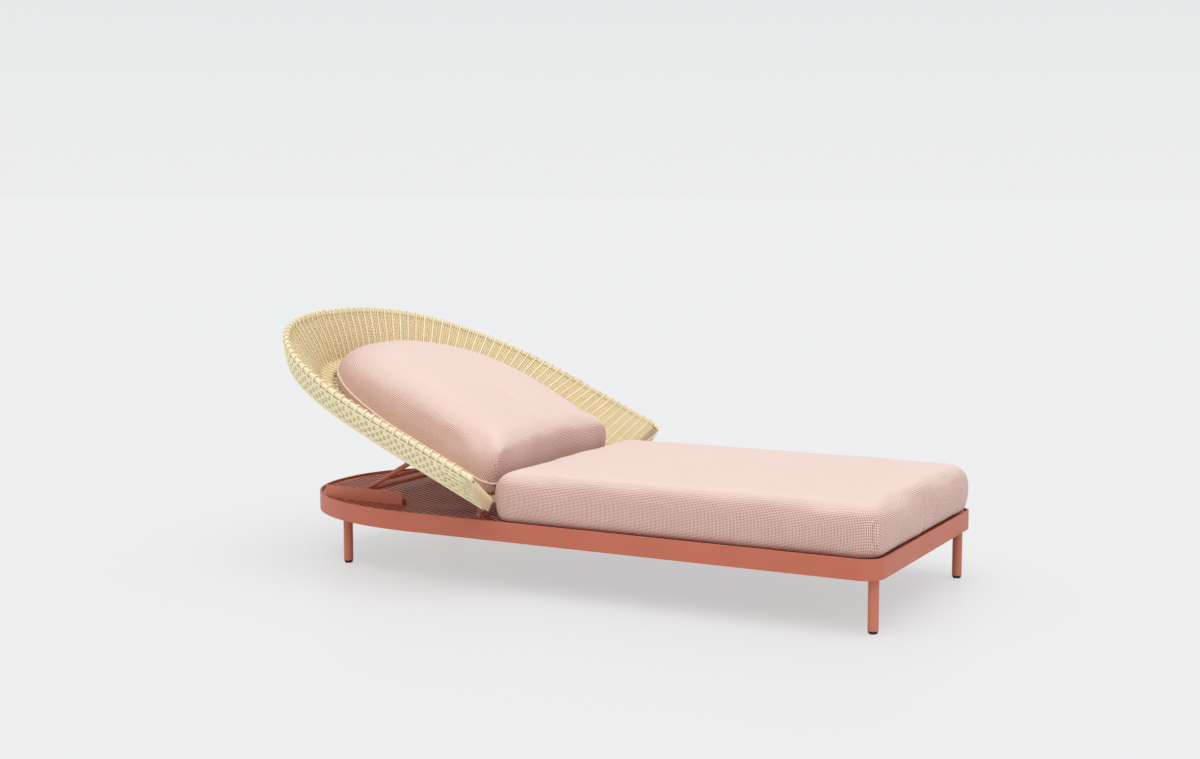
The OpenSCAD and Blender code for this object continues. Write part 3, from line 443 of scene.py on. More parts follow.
start_clean()
bpy.ops.mesh.primitive_circle_add(vertices=12, radius=hole_r, fill_type="NOTHING",
                                  location=(0, 0, 0))
cell = bpy.context.object
bpy.ops.object.mode_set(mode="EDIT")
bpy.ops.mesh.select_all(action="SELECT")
bpy.ops.mesh.extrude_edges_move()
bpy.ops.transform.resize(value=(cell_corner / hole_r,) * 3, center_override=(0, 0, 0))
bpy.ops.object.mode_set(mode="OBJECT")
flat_side = math.cos(math.radians(30))
for v in cell.data.vertices:
    turn = math.degrees(math.atan2(v.co.y, v.co.x)) % 60
    if v.co.length > hole_r * 1.2 and min(turn, 60 - turn) > 15:
        v.co *= flat_side
print("cell faces", len(cell.data.polygons))

# %% Rows of cells
column_step = hole_pitch * math.sqrt(3)
row_count = int(2 * platform_half_w / hole_pitch) + 2
column_count = int(2 * platform_half_l / column_step) + 2
for count, move in ((2, (column_step / 2, hole_pitch / 2, 0)), (row_count, (0, hole_pitch, 0)),
                    (column_count, (column_step, 0, 0))):
    add_modifier(cell, "ARRAY", count=count, use_relative_offset=False, use_constant_offset=True,
                 constant_offset_displace=move)
grid_x = -platform_half_l + origin_x
grid_y = -(row_count // 2) * hole_pitch
cell.data.transform(Matrix.Translation((grid_x, grid_y, deck_top)))
print("rows", row_count, "columns", column_count, "faces", len(cell.data.polygons))


# %% [markdown]
# The outline repeats the platform's own formula, drawn in by the rim's thickness and a small gap.

# %% Keep the cells inside the outline
def platform_half_width(x, inside):
    """Half the platform's width at x, drawn in by a distance."""
    x = x - origin_x
    half = platform_half_w - inside
    if x > platform_half_l - foot_r:
        r = foot_r - inside
        over = min(x - platform_half_l + foot_r, r)
        return platform_half_w - foot_r + math.sqrt(max(r * r - over * over, 0)) if over < r else 0
    d = max(-platform_half_l + head_l - x, 0) / (head_l - inside)
    return half * (1 - d ** head_power) ** (1 / head_power) if d < 1 else 0


def cell_centre(middle):
    """Centre of the cell that a face or an edge with this middle belongs to."""
    column = round((middle.x - grid_x) / (column_step / 2))
    shift = hole_pitch / 2 if column % 2 else 0
    row = round((middle.y - grid_y - shift) / hole_pitch)
    return grid_x + column * column_step / 2, grid_y + shift + row * hole_pitch


def cell_kept(middle):
    """True if the whole cell round this face lies inside the deck's plain border."""
    x, y = cell_centre(middle)
    reach = cell_corner + 0.001
    ends = x + reach < platform_half_l + origin_x - rim_inside and x - reach > grid_x + rim_inside
    return ends and abs(y) + reach < min(platform_half_width(x - reach, rim_inside),
                                         platform_half_width(x + reach, rim_inside))


make_active(cell)
bpy.ops.object.mode_set(mode="EDIT")
select_faces(cell, lambda middle: not cell_kept(middle))
bpy.ops.mesh.delete(type="FACE")
bpy.ops.mesh.select_all(action="SELECT")
bpy.ops.mesh.remove_doubles(threshold=0.0002)
bpy.ops.object.mode_set(mode="OBJECT")

# %% Fill the plain border
def deck_outline(inside, steps=90):
    """Points of the deck's outline, counter-clockwise from the near foot corner."""
    points = []
    r = foot_r - inside
    for side in (-1, 1):
        for i in range(9):
            a = math.radians(-90 + 90 * (side > 0) + 90 * i / 8)
            points.append((platform_half_l - foot_r + r * math.cos(a),
                           side * (platform_half_w - foot_r) + r * math.sin(a)))
    for i in range(steps + 1):
        a = math.radians(90 - 180 * i / steps)
        c, s = abs(math.cos(a)), abs(math.sin(a))
        far = (c / (head_l - inside)) ** head_power + (s / (platform_half_w - inside)) ** head_power
        far = far ** (-1 / head_power)
        points.append((-platform_half_l + head_l - far * math.cos(a), far * math.sin(a)))
    return [Vector((x + origin_x, y, deck_top)) for x, y in points]


shape = bmesh.new()
shape.from_mesh(cell.data)
field_edges = [e for e in shape.edges if e.is_boundary]
hole_edges = set()
for e in field_edges:
    middle = (e.verts[0].co + e.verts[1].co) / 2
    centre = Vector((*cell_centre(middle), deck_top))
    if (middle - centre).length < hole_r * 1.05:
        hole_edges.add(e)
border = [e for e in field_edges if e not in hole_edges]
ring = [shape.verts.new(p) for p in deck_outline(rim_inside)]
border += [shape.edges.new((ring[i], ring[(i + 1) % len(ring)])) for i in range(len(ring))]
bmesh.ops.triangle_fill(shape, use_beauty=True, use_dissolve=False, edges=border)
bmesh.ops.recalc_face_normals(shape, faces=shape.faces)
shape.to_mesh(cell.data)
shape.free()
if cell.data.polygons[0].normal.z < 0:
    cell.data.flip_normals()
print("border edges", len(border), "faces", len(cell.data.polygons))

# %% Two halves of the deck
add_modifier(cell, "SOLIDIFY", thickness=deck_t, offset=-1.0)
split_x = 0.0
make_active(cell)
bpy.ops.object.mode_set(mode="EDIT")
select_faces(cell, lambda middle: middle.x > split_x)
bpy.ops.mesh.separate(type="SELECTED")
bpy.ops.object.mode_set(mode="OBJECT")
foot_half = [o for o in bpy.context.selected_objects if o != cell][0]
finish_piece(cell, "deck_head", "platform", pierced_paint, ["deck_sheet"])
finish_piece(foot_half, "deck_foot", "platform", pierced_paint)

# %% [markdown]
# ## The dish's surfaces
# Every strand of the weave lies on one of two surfaces: a wall that leans out from the base hoop to
# the rim, and a skirt that hangs from the rim. Both are the CAD's own formulas, so the weave sits
# where the CAD's solids are. A place on the wall is given by a station k along it, a share g of the
# way from base to rim, and a lift d off its middle, where the inner face is positive.

# %% The wall as a formula
hinge = np.array([-0.231083, 0.0, 0.218])
side_steps, round_steps = 12, 62
last_station = 2 * side_steps + round_steps
dish_low, dish_bow = 0.024, 0.78
rim_up, base_up = 0.184, 0.040
RIM = (0.615, 0.978, 0.668, 2.44)
BASE = (0.428, 0.862, 0.518, 2.3)
roll_r = 0.009


def from_back(u, y, w):
    """Points of the back's own frame, u up the back and w square to it, in the lounger's frame."""
    u, y, w = np.broadcast_arrays(*(np.asarray(q, float) for q in (u, y, w)))
    x = hinge[0] - u * math.cos(recline) + w * math.sin(recline)
    z = hinge[2] + u * math.sin(recline) + w * math.cos(recline)
    return np.stack([x, y, z], -1)


def back_direction(u, y, w):
    return from_back(u, y, w) - from_back(0, 0, 0)


foot_way, side_way, square_way = (back_direction(*q) for q in ((-1, 0, 0), (0, 1, 0), (0, 0, 1)))


def dish_plan(k, edge):
    """Plan of the dish's rim or base at station k: distance up the back, and from the middle."""
    half, tip, round_l, power = edge
    start = tip - round_l
    a = np.radians(90 - 180 * (k - side_steps) / round_steps)
    r = (np.abs(np.cos(a)) / round_l) ** power + (np.abs(np.sin(a)) / half) ** power
    r = r ** (-1 / power)
    u, y = start + r * np.cos(a), r * np.sin(a)
    first, last = k < side_steps, k > side_steps + round_steps
    u = np.where(first, -dish_low + (start + dish_low) * k / side_steps, u)
    u = np.where(last, -dish_low + (start + dish_low) * (last_station - k) / side_steps, u)
    y = np.where(first, half, np.where(last, -half, y))
    return u, y


def spread(k):
    """Base point, width of the wall in plan, and the direction from base to rim at station k."""
    bu, by = dish_plan(k, BASE)
    ru, ry = dish_plan(k, RIM)
    length = np.hypot(ru - bu, ry - by)
    return bu, by, length, (ru - bu) / length, (ry - by) / length


def wall(k, g, d=0.0):
    """A place on the dish's wall, with the directions along its rim and off its inner face."""
    k, g, d = np.broadcast_arrays(*(np.asarray(q, float) for q in (k, g, d)))
    bu, by, length, ou, oy = spread(k)
    rate = (rim_up - base_up) * dish_bow * np.maximum(g, 0.06) ** (dish_bow - 1)
    slope = np.arctan2(rate, length)
    run = length * g - d * np.sin(slope)
    w = base_up + (rim_up - base_up) * np.maximum(g, 0) ** dish_bow + d * np.cos(slope)
    inner = back_direction(-np.sin(slope) * ou, -np.sin(slope) * oy, np.cos(slope))
    return from_back(bu + run * ou, by + run * oy, w), back_direction(-oy, ou, 0), inner


# %% [markdown]
# Two more faces are needed. The inner weave covers the base hoop and ends beside the cushion, so
# its face bends away from the wall near the base. The skirt's face curves in towards its lower
# edge. For such faces the direction off the surface is found from two small steps along it.

# %% The inner face and the skirt
inner_over, inner_low, inner_soft, rim_share = 0.038, 0.060, 0.005, 0.945
skirt_up, skirt_in, skirt_out, skirt_swell = 0.110, 0.031, 0.002, 0.003


def lifted(place, k, s, lift, toward):
    """Points of a face, lifted off it, with the directions along it and off it."""
    k, s, lift = np.broadcast_arrays(*(np.asarray(q, float) for q in (k, s, lift)))
    along = place(k + 0.05, s) - place(k - 0.05, s)
    off = unit(np.cross(along, place(k, s + 0.01) - place(k, s - 0.01)))
    off = off * np.sign(np.sum(off * toward(k), -1, keepdims=True))
    return place(k, s) + lift[..., None] * off, unit(along), off


def inner_place(k, s):
    bu, by, length, ou, oy = spread(k)
    run = -inner_over + (rim_share * length + inner_over) * s
    w = base_up + (rim_up - base_up) * np.maximum(run / length, 0) ** dish_bow
    w = (w + inner_low + np.sqrt((w - inner_low) ** 2 + inner_soft ** 2)) / 2
    return from_back(bu + run * ou, by + run * oy, w)


def inner_face(k, s, lift=0.0):
    """The inner weave's face: s is 0 beside the cushion and 1 at the rim's roll."""
    return lifted(inner_place, k, s, lift, lambda k: square_way)


def skirt_place(k, t):
    bu, by, length, ou, oy = spread(k)
    out = length + skirt_out * (1 - t) - skirt_in * t + skirt_swell * np.sin(np.pi * t)
    top = rim_up - roll_r
    return from_back(bu + out * ou, by + out * oy, top + (skirt_up - top) * t)


def skirt(k, t, lift=0.0):
    """The skirt's face: t is 0 under the rim's roll and 1 at the lower edge."""
    return lifted(skirt_place, k, t, lift, lambda k: back_direction(*spread(k)[3:], 0))


# %% [markdown]
# ## Strands
# A strand is a flat tube along a line. Curves with a bevel could make them, but their flat side
# would turn as it likes. So each strand is swept here: at every point of its line it has a
# direction for its width and one for its thickness, and its section is placed on those.

# %% Sweep strands
def strands(lines, across, off, width, thick, sides=4, tones=None):
    """Points, faces and tones of flat tubes along strands x steps x 3 points, or along one line."""
    lines = lines[None] if lines.ndim == 2 else lines
    across, off = (np.broadcast_to(q, lines.shape) for q in (across, off))
    count, steps = lines.shape[:2]
    way = np.gradient(lines, axis=1)
    lean = np.sum(across * way, -1) / np.maximum(np.sum(way * way, -1), 1e-12)
    across = unit(across - way * lean[..., None])
    flip = np.sign(np.sum(np.cross(across, off) * way, -1, keepdims=True))
    flip[flip == 0] = 1
    across = across * flip
    turn = math.tau * (np.arange(sides) + (0.5 if sides == 4 else 0)) / sides
    width, thick = (np.broadcast_to(np.asarray(q, float), (count, steps)) for q in (width, thick))
    ring = (lines[:, :, None]
            + (width / 2)[:, :, None, None] * np.cos(turn)[:, None] * across[:, :, None]
            + (thick / 2)[:, :, None, None] * np.sin(turn)[:, None] * off[:, :, None])
    index = np.arange(count * steps * sides).reshape(count, steps, sides)
    a, b = index[:, :-1], index[:, 1:]
    quads = np.stack([a, np.roll(a, -1, 2), np.roll(b, -1, 2), b], -1).reshape(-1, 4).tolist()
    caps = index[:, 0, ::-1].tolist() + index[:, -1].tolist()
    if tones is None:
        tones = random.random(count)
    tone = np.repeat(np.broadcast_to(np.asarray(tones, float), count), steps * sides)
    return ring.reshape(-1, 3), quads + caps, tone


def sideways(lines, off):
    """Directions across lines that lie on a face with the directions off it."""
    return unit(np.cross(off, np.gradient(lines, axis=-2)))


def gather(parts):
    """Joins several sets of strands in one set of points, faces and tones."""
    points, faces, tones, shift = [], [], [], 0
    for p, f, t in parts:
        points.append(p)
        faces += [[i + shift for i in face] for face in f]
        tones.append(t)
        shift += len(p)
    return np.concatenate(points), faces, np.concatenate(tones)


def woven(name, parts, finish, nodes=()):
    """A finished piece of the dish from several sets of strands."""
    return finish_piece(mesh_piece(name, *gather(parts)), name, "backrest", finish, nodes)


def both_ends(parts):
    """The strands and their mirror image on the other side of the lounger."""
    p, f, t = gather(parts)
    return gather([(p, f, t), (p * np.array([1, -1, 1]), [face[::-1] for face in f], t)])


random = np.random.default_rng(11)


# %% [markdown]
# ## Lining
# Behind the strands of the wall and of the skirt lies a thin dark lining of painted shade, for the
# shade behind the weave. It is what shows as dark dashes where the strands draw apart.

# %% Lining
def closed_sheet(front, rear):
    """Points and faces of a thin closed sheet between two grids of points."""
    ring_points = np.concatenate([front, rear[:, ::-1]], 1)
    count, around = ring_points.shape[:2]
    index = np.arange(count * around).reshape(count, around)
    a, b = index[:-1], index[1:]
    faces = np.stack([a, b, np.roll(b, -1, 1), np.roll(a, -1, 1)], -1).reshape(-1, 4).tolist()
    faces += [index[0].tolist(), index[-1, ::-1].tolist()]
    return ring_points.reshape(-1, 3), faces, np.full(count * around, 0.5)


sweep_k = np.linspace(0.0, last_station, 2 * last_station + 1)


def line_with(name, faces_of_dish, finish):
    """One piece of thin sheets, one for each face of the dish with its lower and upper lift."""
    sheets = []
    for face, low, high in faces_of_dish:
        shares = np.linspace(0.0, 0.95 if face is wall else 1.0, 14)
        ks, ss = np.meshgrid(sweep_k, shares, indexing="ij")
        sheets.append(closed_sheet(face(ks, ss, high)[0], face(ks, ss, low)[0]))
    face_outwards(woven(name, sheets, finish))


# The lining of the wall and the skirt takes the dark cane: painted shade behind the strands.
line_with("dish_lining", ((wall, 0.0012, -0.0006), (skirt, -0.0006, 0.0008)), painted_shade_cane)
line_with("dish_inner_lining", ((inner_face, 0.0012, 0.0030),), warm_cane)


# %% [markdown]
# ## Rows
# The rows run round the dish in bundles of three strands side by side. A bundle passes over one
# stake and dips under the next, and the next bundle does the opposite. Where strands dip they draw
# apart and become narrower, so dark dashes show between them, staggered like bricks.

# %% Rows of a face
def rows(face, shares, lift, rise, narrow, widen, thick, sides=6, turns=1, cuts=6, wander=0.0):
    """Strands along a face, in threes. They rise and widen turns times in two stations."""
    k = np.linspace(0.0, last_station, cuts * last_station + 1)
    lines, offs, over_all = [], [], []
    for row, share in enumerate(shares):
        wave = np.cos(np.pi * (turns * k + (row // 3) % 2))
        over = 0.5 + 0.5 * np.tanh(2.2 * (wave + 0.35)) / np.tanh(2.2 * 1.35)
        drift = wander * np.sin(k * 0.37 + 2.1 * row)
        p, _, off = face(k, share + drift, lift + rise * over)
        lines.append(p), offs.append(off), over_all.append(over)
    lines, offs, over_all = (np.array(q) for q in (lines, offs, over_all))
    return strands(lines, sideways(lines, offs), offs, narrow + widen * over_all, thick, sides)


woven("dish_outer_rows",
      [rows(wall, np.linspace(0.035, 0.925, 24), lift=-0.0022, rise=-0.0056, narrow=0.0050,
            widen=0.0038, thick=0.0030, wander=0.003)], pale_cane, ["woven_wall"])

# %% Skirt
skirt_shares = np.linspace(0.115, 0.880, 12)
woven("dish_skirt", [
    rows(skirt, skirt_shares, 0.0012, 0.0024, 0.0030, 0.0030, 0.0024,
         turns=2, cuts=8, wander=0.002),
    rows(skirt, skirt_shares, -0.0014, -0.0016, 0.0044, 0.0018, 0.0018, 4, cuts=4),
    rows(skirt, [0.045], 0.0022, 0.0, 0.0072, 0.0, 0.0044, 8),
    rows(skirt, [0.965], 0.0006, 0.0, 0.0094, 0.0, 0.0078, 8)], pale_cane, ["woven_skirt"])

# %% [markdown]
# ## Inner face
# On the inner face the stakes stand proud: pale flat canes about 30 mm apart that run from beside
# the cushion up the wall, over the rolled rim and on to the skirt. Three fine canes lie between two
# stakes, and thin rows pass over and under them.

# %% Radial lines
def radial_lines(stations, lift, steps=14):
    """Lines up the inner face, over the rim's roll and a little way down the skirt."""
    k = stations[:, None]
    p, along, inner = inner_face(k, np.linspace(0.0, 0.985, steps)[None], lift)
    bu, by, length, ou, oy = (q[:, None] for q in spread(stations))
    turn = np.radians(np.linspace(112, -28, 8))[None]
    reach = roll_r + lift - 0.0032
    out = length + reach * np.cos(turn)
    over = from_back(bu + ou * out, by + oy * out, rim_up + reach * np.sin(turn))
    over_off = back_direction(ou * np.cos(turn), oy * np.cos(turn), np.sin(turn))
    q, _, down_off = skirt(k, [0.12, 0.20, 0.28], [0.0042, 0.0034, 0.0012])
    lines = np.concatenate([p, over, q], 1)
    return lines, along[:, :1], np.concatenate([inner, over_off, down_off], 1)


stake_k = np.arange(1, last_station)
woven("dish_stakes", [strands(*radial_lines(stake_k, 0.0064), 0.0068, 0.0036, 6)],
      pale_cane, ["stakes"])

on_inner_face = 16
fine_k = np.concatenate([np.arange(0, last_station) + share for share in (0.25, 0.5, 0.75)])
lines, across, off = radial_lines(fine_k, 0.0046)
lines, off = lines[:, :on_inner_face], off[:, :on_inner_face]
woven("dish_fine_canes", [strands(lines, across, off, 0.0046, 0.0026)], warm_cane)

# %% Inner rows
inner_k = np.linspace(0.0, last_station, 4 * last_station + 1)
lines, offs = [], []
for row, share in enumerate(np.linspace(0.01, 0.985, 40)):
    wave = np.cos(np.pi * (np.arange(len(inner_k)) + row))
    p, _, off = inner_face(inner_k, share, 0.0046 + 0.0012 * wave)
    lines.append(p), offs.append(off)
lines, offs = np.array(lines), np.array(offs)
woven("dish_inner_rows", [strands(lines, sideways(lines, offs), offs, 0.0044, 0.0018)], warm_cane)

# %% [markdown]
# ## Rim and base edge
# The rim is a metal hoop wrapped tightly with cane, one long helix over a round core. The base edge
# has one thick strand.

# %% Rim wrap
rim_k = np.linspace(0.0, last_station, 3901)
ru, ry = dish_plan(rim_k, RIM)
du, dy = np.gradient(ru), np.gradient(ry)
nu, ny = dy / np.hypot(du, dy), -du / np.hypot(du, dy)
arc = np.concatenate([[0], np.cumsum(np.hypot(np.diff(ru), np.diff(ry)))])
wrap_pitch, wrap_r, wrap_steps = 0.0062, roll_r - 0.0010, 8
wrap_k = np.interp(np.arange(0, arc[-1], wrap_pitch / wrap_steps), arc, rim_k)
turn = math.tau * np.arange(len(wrap_k)) / wrap_steps
wu, wy, wnu, wny = (np.interp(wrap_k, rim_k, q) for q in (ru, ry, nu, ny))
c, s = np.cos(turn) * wrap_r, np.sin(turn) * wrap_r
line = from_back(wu + wnu * c, wy + wny * c, rim_up + s)
off = back_direction(wnu * np.cos(turn), wny * np.cos(turn), np.sin(turn))
helix = strands(line, back_direction(-wny, wnu, 0), off, 0.0074, 0.0018, 4, [0.15])
core_k = np.linspace(0.0, last_station, 260)
cu, cy, cnu, cny = (np.interp(core_k, rim_k, q) for q in (ru, ry, nu, ny))
core = strands(from_back(cu, cy, rim_up), back_direction(cnu, cny, 0), square_way,
               0.0164, 0.0164, 12, [0.3])
woven("dish_rim_wrap", [helix, core], pale_cane, ["rim_roll", "rim_hoop"])

# %% Base edge
line, _, inner = wall(core_k, 0.012, -0.0045)
woven("dish_base_edge", [strands(line, sideways(line, inner), inner, 0.0115, 0.0092, 8, [0.3])],
      pale_cane)

# %% [markdown]
# ## Wrapped lower ends
# At each lower end a plate of weave closes the space between the wall and the skirt. It is dark
# cane colour, painted shade that shows between the strands laid over it. Its outline is the CAD's:
# four corners, rounded. The skirt's strands turn round its outer edge and fan over its face to the
# lower inner corner, and short loops from the inner face hook over its top edge.

# %% Body of the lower ends
end_corners = ((0.444, 0.049), (0.575, 0.119), (0.604, 0.170), (0.444, 0.079))
end_low, end_high, end_round = -0.0255, -0.0405, 0.0075


def end_outline(radius, cuts=5):
    """The plate's outline in y and w: an arc of the radius round each corner."""
    points = []
    for n, corner in enumerate(end_corners):
        before, after = np.array(end_corners[n - 1]), np.array(end_corners[(n + 1) % 4])
        corner = np.array(corner)
        way_in, way_out = corner - before, after - corner
        a0 = math.atan2(-way_in[0], way_in[1]) + math.pi
        a1 = math.atan2(-way_out[0], way_out[1]) + math.pi
        a1 = a0 + (a1 - a0) % math.tau
        for a in np.linspace(a0, a1, cuts):
            points.append(corner + radius * np.array([math.cos(a), math.sin(a)]))
    return np.array(points)


y, w = end_outline(end_round).T
n = len(y)
faces = [[i, (i + 1) % n, n + (i + 1) % n, n + i] for i in range(n)]
faces += [list(range(n))[::-1], list(range(n, 2 * n))]
plate = np.concatenate([from_back(end_high, y, w), from_back(end_low, y, w)])
# The plate is dark cane: painted shade between the strands over it.
end_body = woven("dish_end_body", [both_ends([(plate, faces, np.full(2 * n, 0.4))])],
                 painted_shade_cane, ["end_rolls"])
face_outwards(end_body)
add_modifier(end_body, "BEVEL", width=0.002, segments=2, limit_method="ANGLE")

# %% [markdown]
# A share of the way between two places sets each strand over the plate. Its line is put together
# from short runs: along the skirt, round the flank and the corner, over the plate, and into the
# gap behind it.

# %% Strands over the lower ends
def between(a, b, share):
    return a + (b - a) * share


outer_bottom, outer_top, inner_top = end_corners[1:]
fan, fan_widths, fan_thick = 11, [0.0044, 0.0044, 0.0028], 0.0032
plate_front, goal_y = -0.0425, 0.441
parts = []
for i in range(fan):
    share = i / (fan - 1)
    start_k = 2.2 + 1.0 * random.random()
    k = np.linspace(start_k, 0.0, 6)
    slant = (0.10 if i % 2 else -0.06) * (k / start_k) ** 1.4
    down = np.clip(0.02 + 0.93 * share + slant, 0.02, 0.96)
    p, _, off = skirt(k, down, 0.0048 + 0.0012 * (i % 2))
    edge_y = between(outer_top[0], outer_bottom[0], share) + 0.0076
    edge_w, goal_w = between(0.172, 0.116, share), between(0.080, 0.046, share)
    run = np.linspace(0.06, 1.0, 7)
    sag = 0.006 * np.sin(np.pi * run) * (1 - share)
    line = np.concatenate([
        p, from_back([-0.032, -0.0385], [edge_y + 0.002, edge_y + 0.0014], edge_w),
        from_back([plate_front], edge_y - 0.0016, edge_w),
        from_back(plate_front - 0.0011 * (i % 2), between(edge_y, goal_y, run),
                  between(edge_w, goal_w, run) + sag),
        from_back([-0.0375, -0.030], [goal_y - 0.0075, goal_y - 0.0080], goal_w)])
    out, inward = off[-1], -side_way
    normal = np.array([out] * (len(p) + 2) + [unit(out + foot_way)] + [foot_way] * len(run)
                      + [(foot_way + inward) / 1.414, inward])
    width = np.interp(np.arange(len(line)), [0, len(p) + 2, len(line) - 1], fan_widths)
    parts.append(strands(line, sideways(line, normal), normal, width, fan_thick, 6))

# %% Loops over the top edge of the ends
loops = 20
for i in range(loops):
    y0 = between(0.446, 0.600, (i + 0.5) / loops)
    top_w = inner_top[1] + (outer_top[1] - inner_top[1]) * (y0 - inner_top[0]) / 0.160 + 0.0088
    reach = rim_share * (RIM[0] - BASE[0]) + inner_over
    s_here = np.clip((y0 - BASE[0] + inner_over) / reach, 0, 0.98)
    k = np.linspace(0.7 + 0.6 * random.random(), 0.0, 4)
    p, _, off = inner_face(k, s_here, 0.0066 + 0.0008 * (i % 2))
    drop = 0.010 + 0.012 * random.random()
    line = np.concatenate([p, from_back(
        [-0.033, -0.040, -0.0438, -0.0444, -0.0430],
        y0 - np.array([0.0, 0.0004, 0.001, 0.002 + 0.3 * drop, 0.003 + 0.4 * drop]),
        top_w + np.array([0.0016, 0.0008, -0.003, -drop, -drop - 0.004]))])
    upward = off[-1]
    normal = np.array([upward] * (len(p) + 1) + [(upward + foot_way) / 1.414] + [foot_way] * 3)
    parts.append(strands(line, sideways(line, normal), normal, 0.0036, 0.0024, 6))
turn_in = np.array([0.0, 0.0, 0.002, 0.006])
cap_w = [0.0180, 0.0176, 0.0150, 0.0090]
cap = from_back([-0.022, -0.030, -0.0365, -0.0405], 0.6135 - turn_in, rim_up - 0.0005 - turn_in)
parts.append(strands(cap, side_way, square_way, cap_w, cap_w, 10, [0.5]))
woven("dish_end_wraps", [both_ends(parts)], pale_cane)

# %% [markdown]
# ## The dish's floor
# Under the cushion the dish is closed by a plain weave of flat bands, which shows from behind.

# %% Woven floor
floor_mid, band_pitch, band_w, band_t, band_rise = 0.0533, 0.020, 0.0172, 0.0014, 0.0009
floor_half, floor_tip, floor_round = (q - 0.0145 - 0.0116 for q in BASE[:3])
floor_power = BASE[3]


def floor_reach(y):
    """How far up the back the floor reaches at a distance y from the middle."""
    share = np.minimum(np.abs(y) / floor_half, 1)
    return floor_tip - floor_round + floor_round * (1 - share ** floor_power) ** (1 / floor_power)


def floor_width(u):
    share = np.clip((u - floor_tip + floor_round) / floor_round, 0, 1)
    return floor_half * (1 - share ** floor_power) ** (1 / floor_power)


def band(u, y, wave, across):
    """One flat band of the floor, which rises and dips by its wave."""
    line = from_back(u, y, floor_mid + band_rise * wave)
    return strands(line, across, square_way, band_w, band_t, 4, [random.random()])


parts = []
for i in range(int(2 * floor_half / band_pitch)):
    y = -floor_half + band_pitch * (i + 0.8)
    top = floor_reach(y) - 0.002
    if top < 0.05:
        continue
    u = np.arange(-dish_low, top, band_pitch / 2)
    parts.append(band(u, y, np.cos(np.pi * ((u + dish_low) / band_pitch - 0.5 + i)), side_way))
for j in range(int((floor_tip + dish_low) / band_pitch)):
    u = -dish_low + band_pitch * (j + 0.5)
    half = floor_width(u) - 0.002
    if half < 0.04:
        continue
    y = np.arange(-half, half, band_pitch / 2)
    parts.append(band(u, y, -np.cos(np.pi * ((y + floor_half) / band_pitch - 0.8 + j)), foot_way))
woven("dish_floor", parts, warm_cane, ["woven_floor"])


# %% [markdown]
# ## Cushions
# A cushion is cloth blown up by its filling. It could be shaped by hand, but a short cloth
# simulation finds the crown and the drawn-in sides by itself: a closed form is remeshed evenly, its
# underside is held still, and pressure pushes the rest out for some frames. No point may move
# further than a cap, and the moves are smoothed before they are kept.

# %% Simulate a cushion
def read_points(piece):
    points = np.empty(len(piece.data.vertices) * 3)
    piece.data.vertices.foreach_get("co", points)
    return points.reshape(-1, 3)


def write_points(piece, points):
    piece.data.vertices.foreach_set("co", points.ravel())
    piece.data.update()


pressure, cap, frames, stiffness, smoothing = 3.0, 0.008, 16, 40.0, 30


def inflate(piece, voxel, held, soften):
    """Blows up a closed form. held tells which points stay, and soften rounds it before."""
    make_active(piece)
    add_modifier(piece, "REMESH", mode="VOXEL", voxel_size=voxel, use_smooth_shade=True)
    add_modifier(piece, "SMOOTH", factor=0.5, iterations=soften)
    rest = read_points(piece)
    hold = np.round(held(rest), 2)
    group = piece.vertex_groups.new(name="held")
    for level in np.unique(hold):
        if level > 0:
            group.add(np.nonzero(hold == level)[0].tolist(), float(level), "REPLACE")
    make_active(piece)
    sim = piece.modifiers.new("cloth", "CLOTH")
    for key, value in {
            "quality": 5, "mass": 0.3, "use_pressure": True, "uniform_pressure_force": pressure,
            "tension_stiffness": stiffness, "compression_stiffness": stiffness,
            "shear_stiffness": stiffness / 2, "bending_stiffness": 6.0, "shrink_min": -0.02,
            "vertex_group_mass": "held", "pin_stiffness": 1.0}.items():
        setattr(sim.settings, key, value)
    sim.settings.effector_weights.gravity = 0
    sim.point_cache.frame_start, sim.point_cache.frame_end = 1, frames
    for number_of_frame in range(1, frames + 1):
        bpy.context.scene.frame_set(number_of_frame)
    step = read_points(piece.evaluated_get(bpy.context.evaluated_depsgraph_get())) - rest
    size = np.linalg.norm(step, axis=1, keepdims=True)
    step *= np.minimum(1, cap / np.maximum(size, 1e-9))
    edges = np.empty(len(piece.data.edges) * 2, np.int64)
    piece.data.edges.foreach_get("vertices", edges)
    a, b = edges.reshape(-1, 2).T
    count = len(rest)
    near = np.bincount(edges, minlength=count)[:, None]
    for _ in range(smoothing):
        total = np.stack([np.bincount(a, step[b, i], count) + np.bincount(b, step[a, i], count)
                          for i in range(3)], 1)
        step = 0.5 * step + 0.5 * total / near
    piece.modifiers.remove(sim)
    bpy.context.scene.frame_set(1)
    write_points(piece, rest + step)
    print(piece.name, "moved up to", round(float(size.max()), 4), "points", count)


def skin_over(name, rings):
    """A closed form over rings of points, capped at both ends."""
    rings = [np.asarray(r) for r in rings]
    n = len(rings[0])
    points = np.concatenate(rings)
    faces = []
    for j in range(len(rings) - 1):
        for i in range(n):
            k = (i + 1) % n
            faces.append([j * n + i, j * n + k, (j + 1) * n + k, (j + 1) * n + i])
    faces.append(list(range(n))[::-1])
    faces.append([(len(rings) - 1) * n + i for i in range(n)])
    return mesh_piece(name, points, faces)


# %% [markdown]
# ### Seat cushion
# It starts as a soft-cornered block with its own small swell. Its foot is held to the deck.

# %% Seat cushion
seat_x = (-0.168083, 1.048917)
seat_half, seat_low, seat_top = 0.436, 0.2073, 0.3623
seat_corner = 0.062


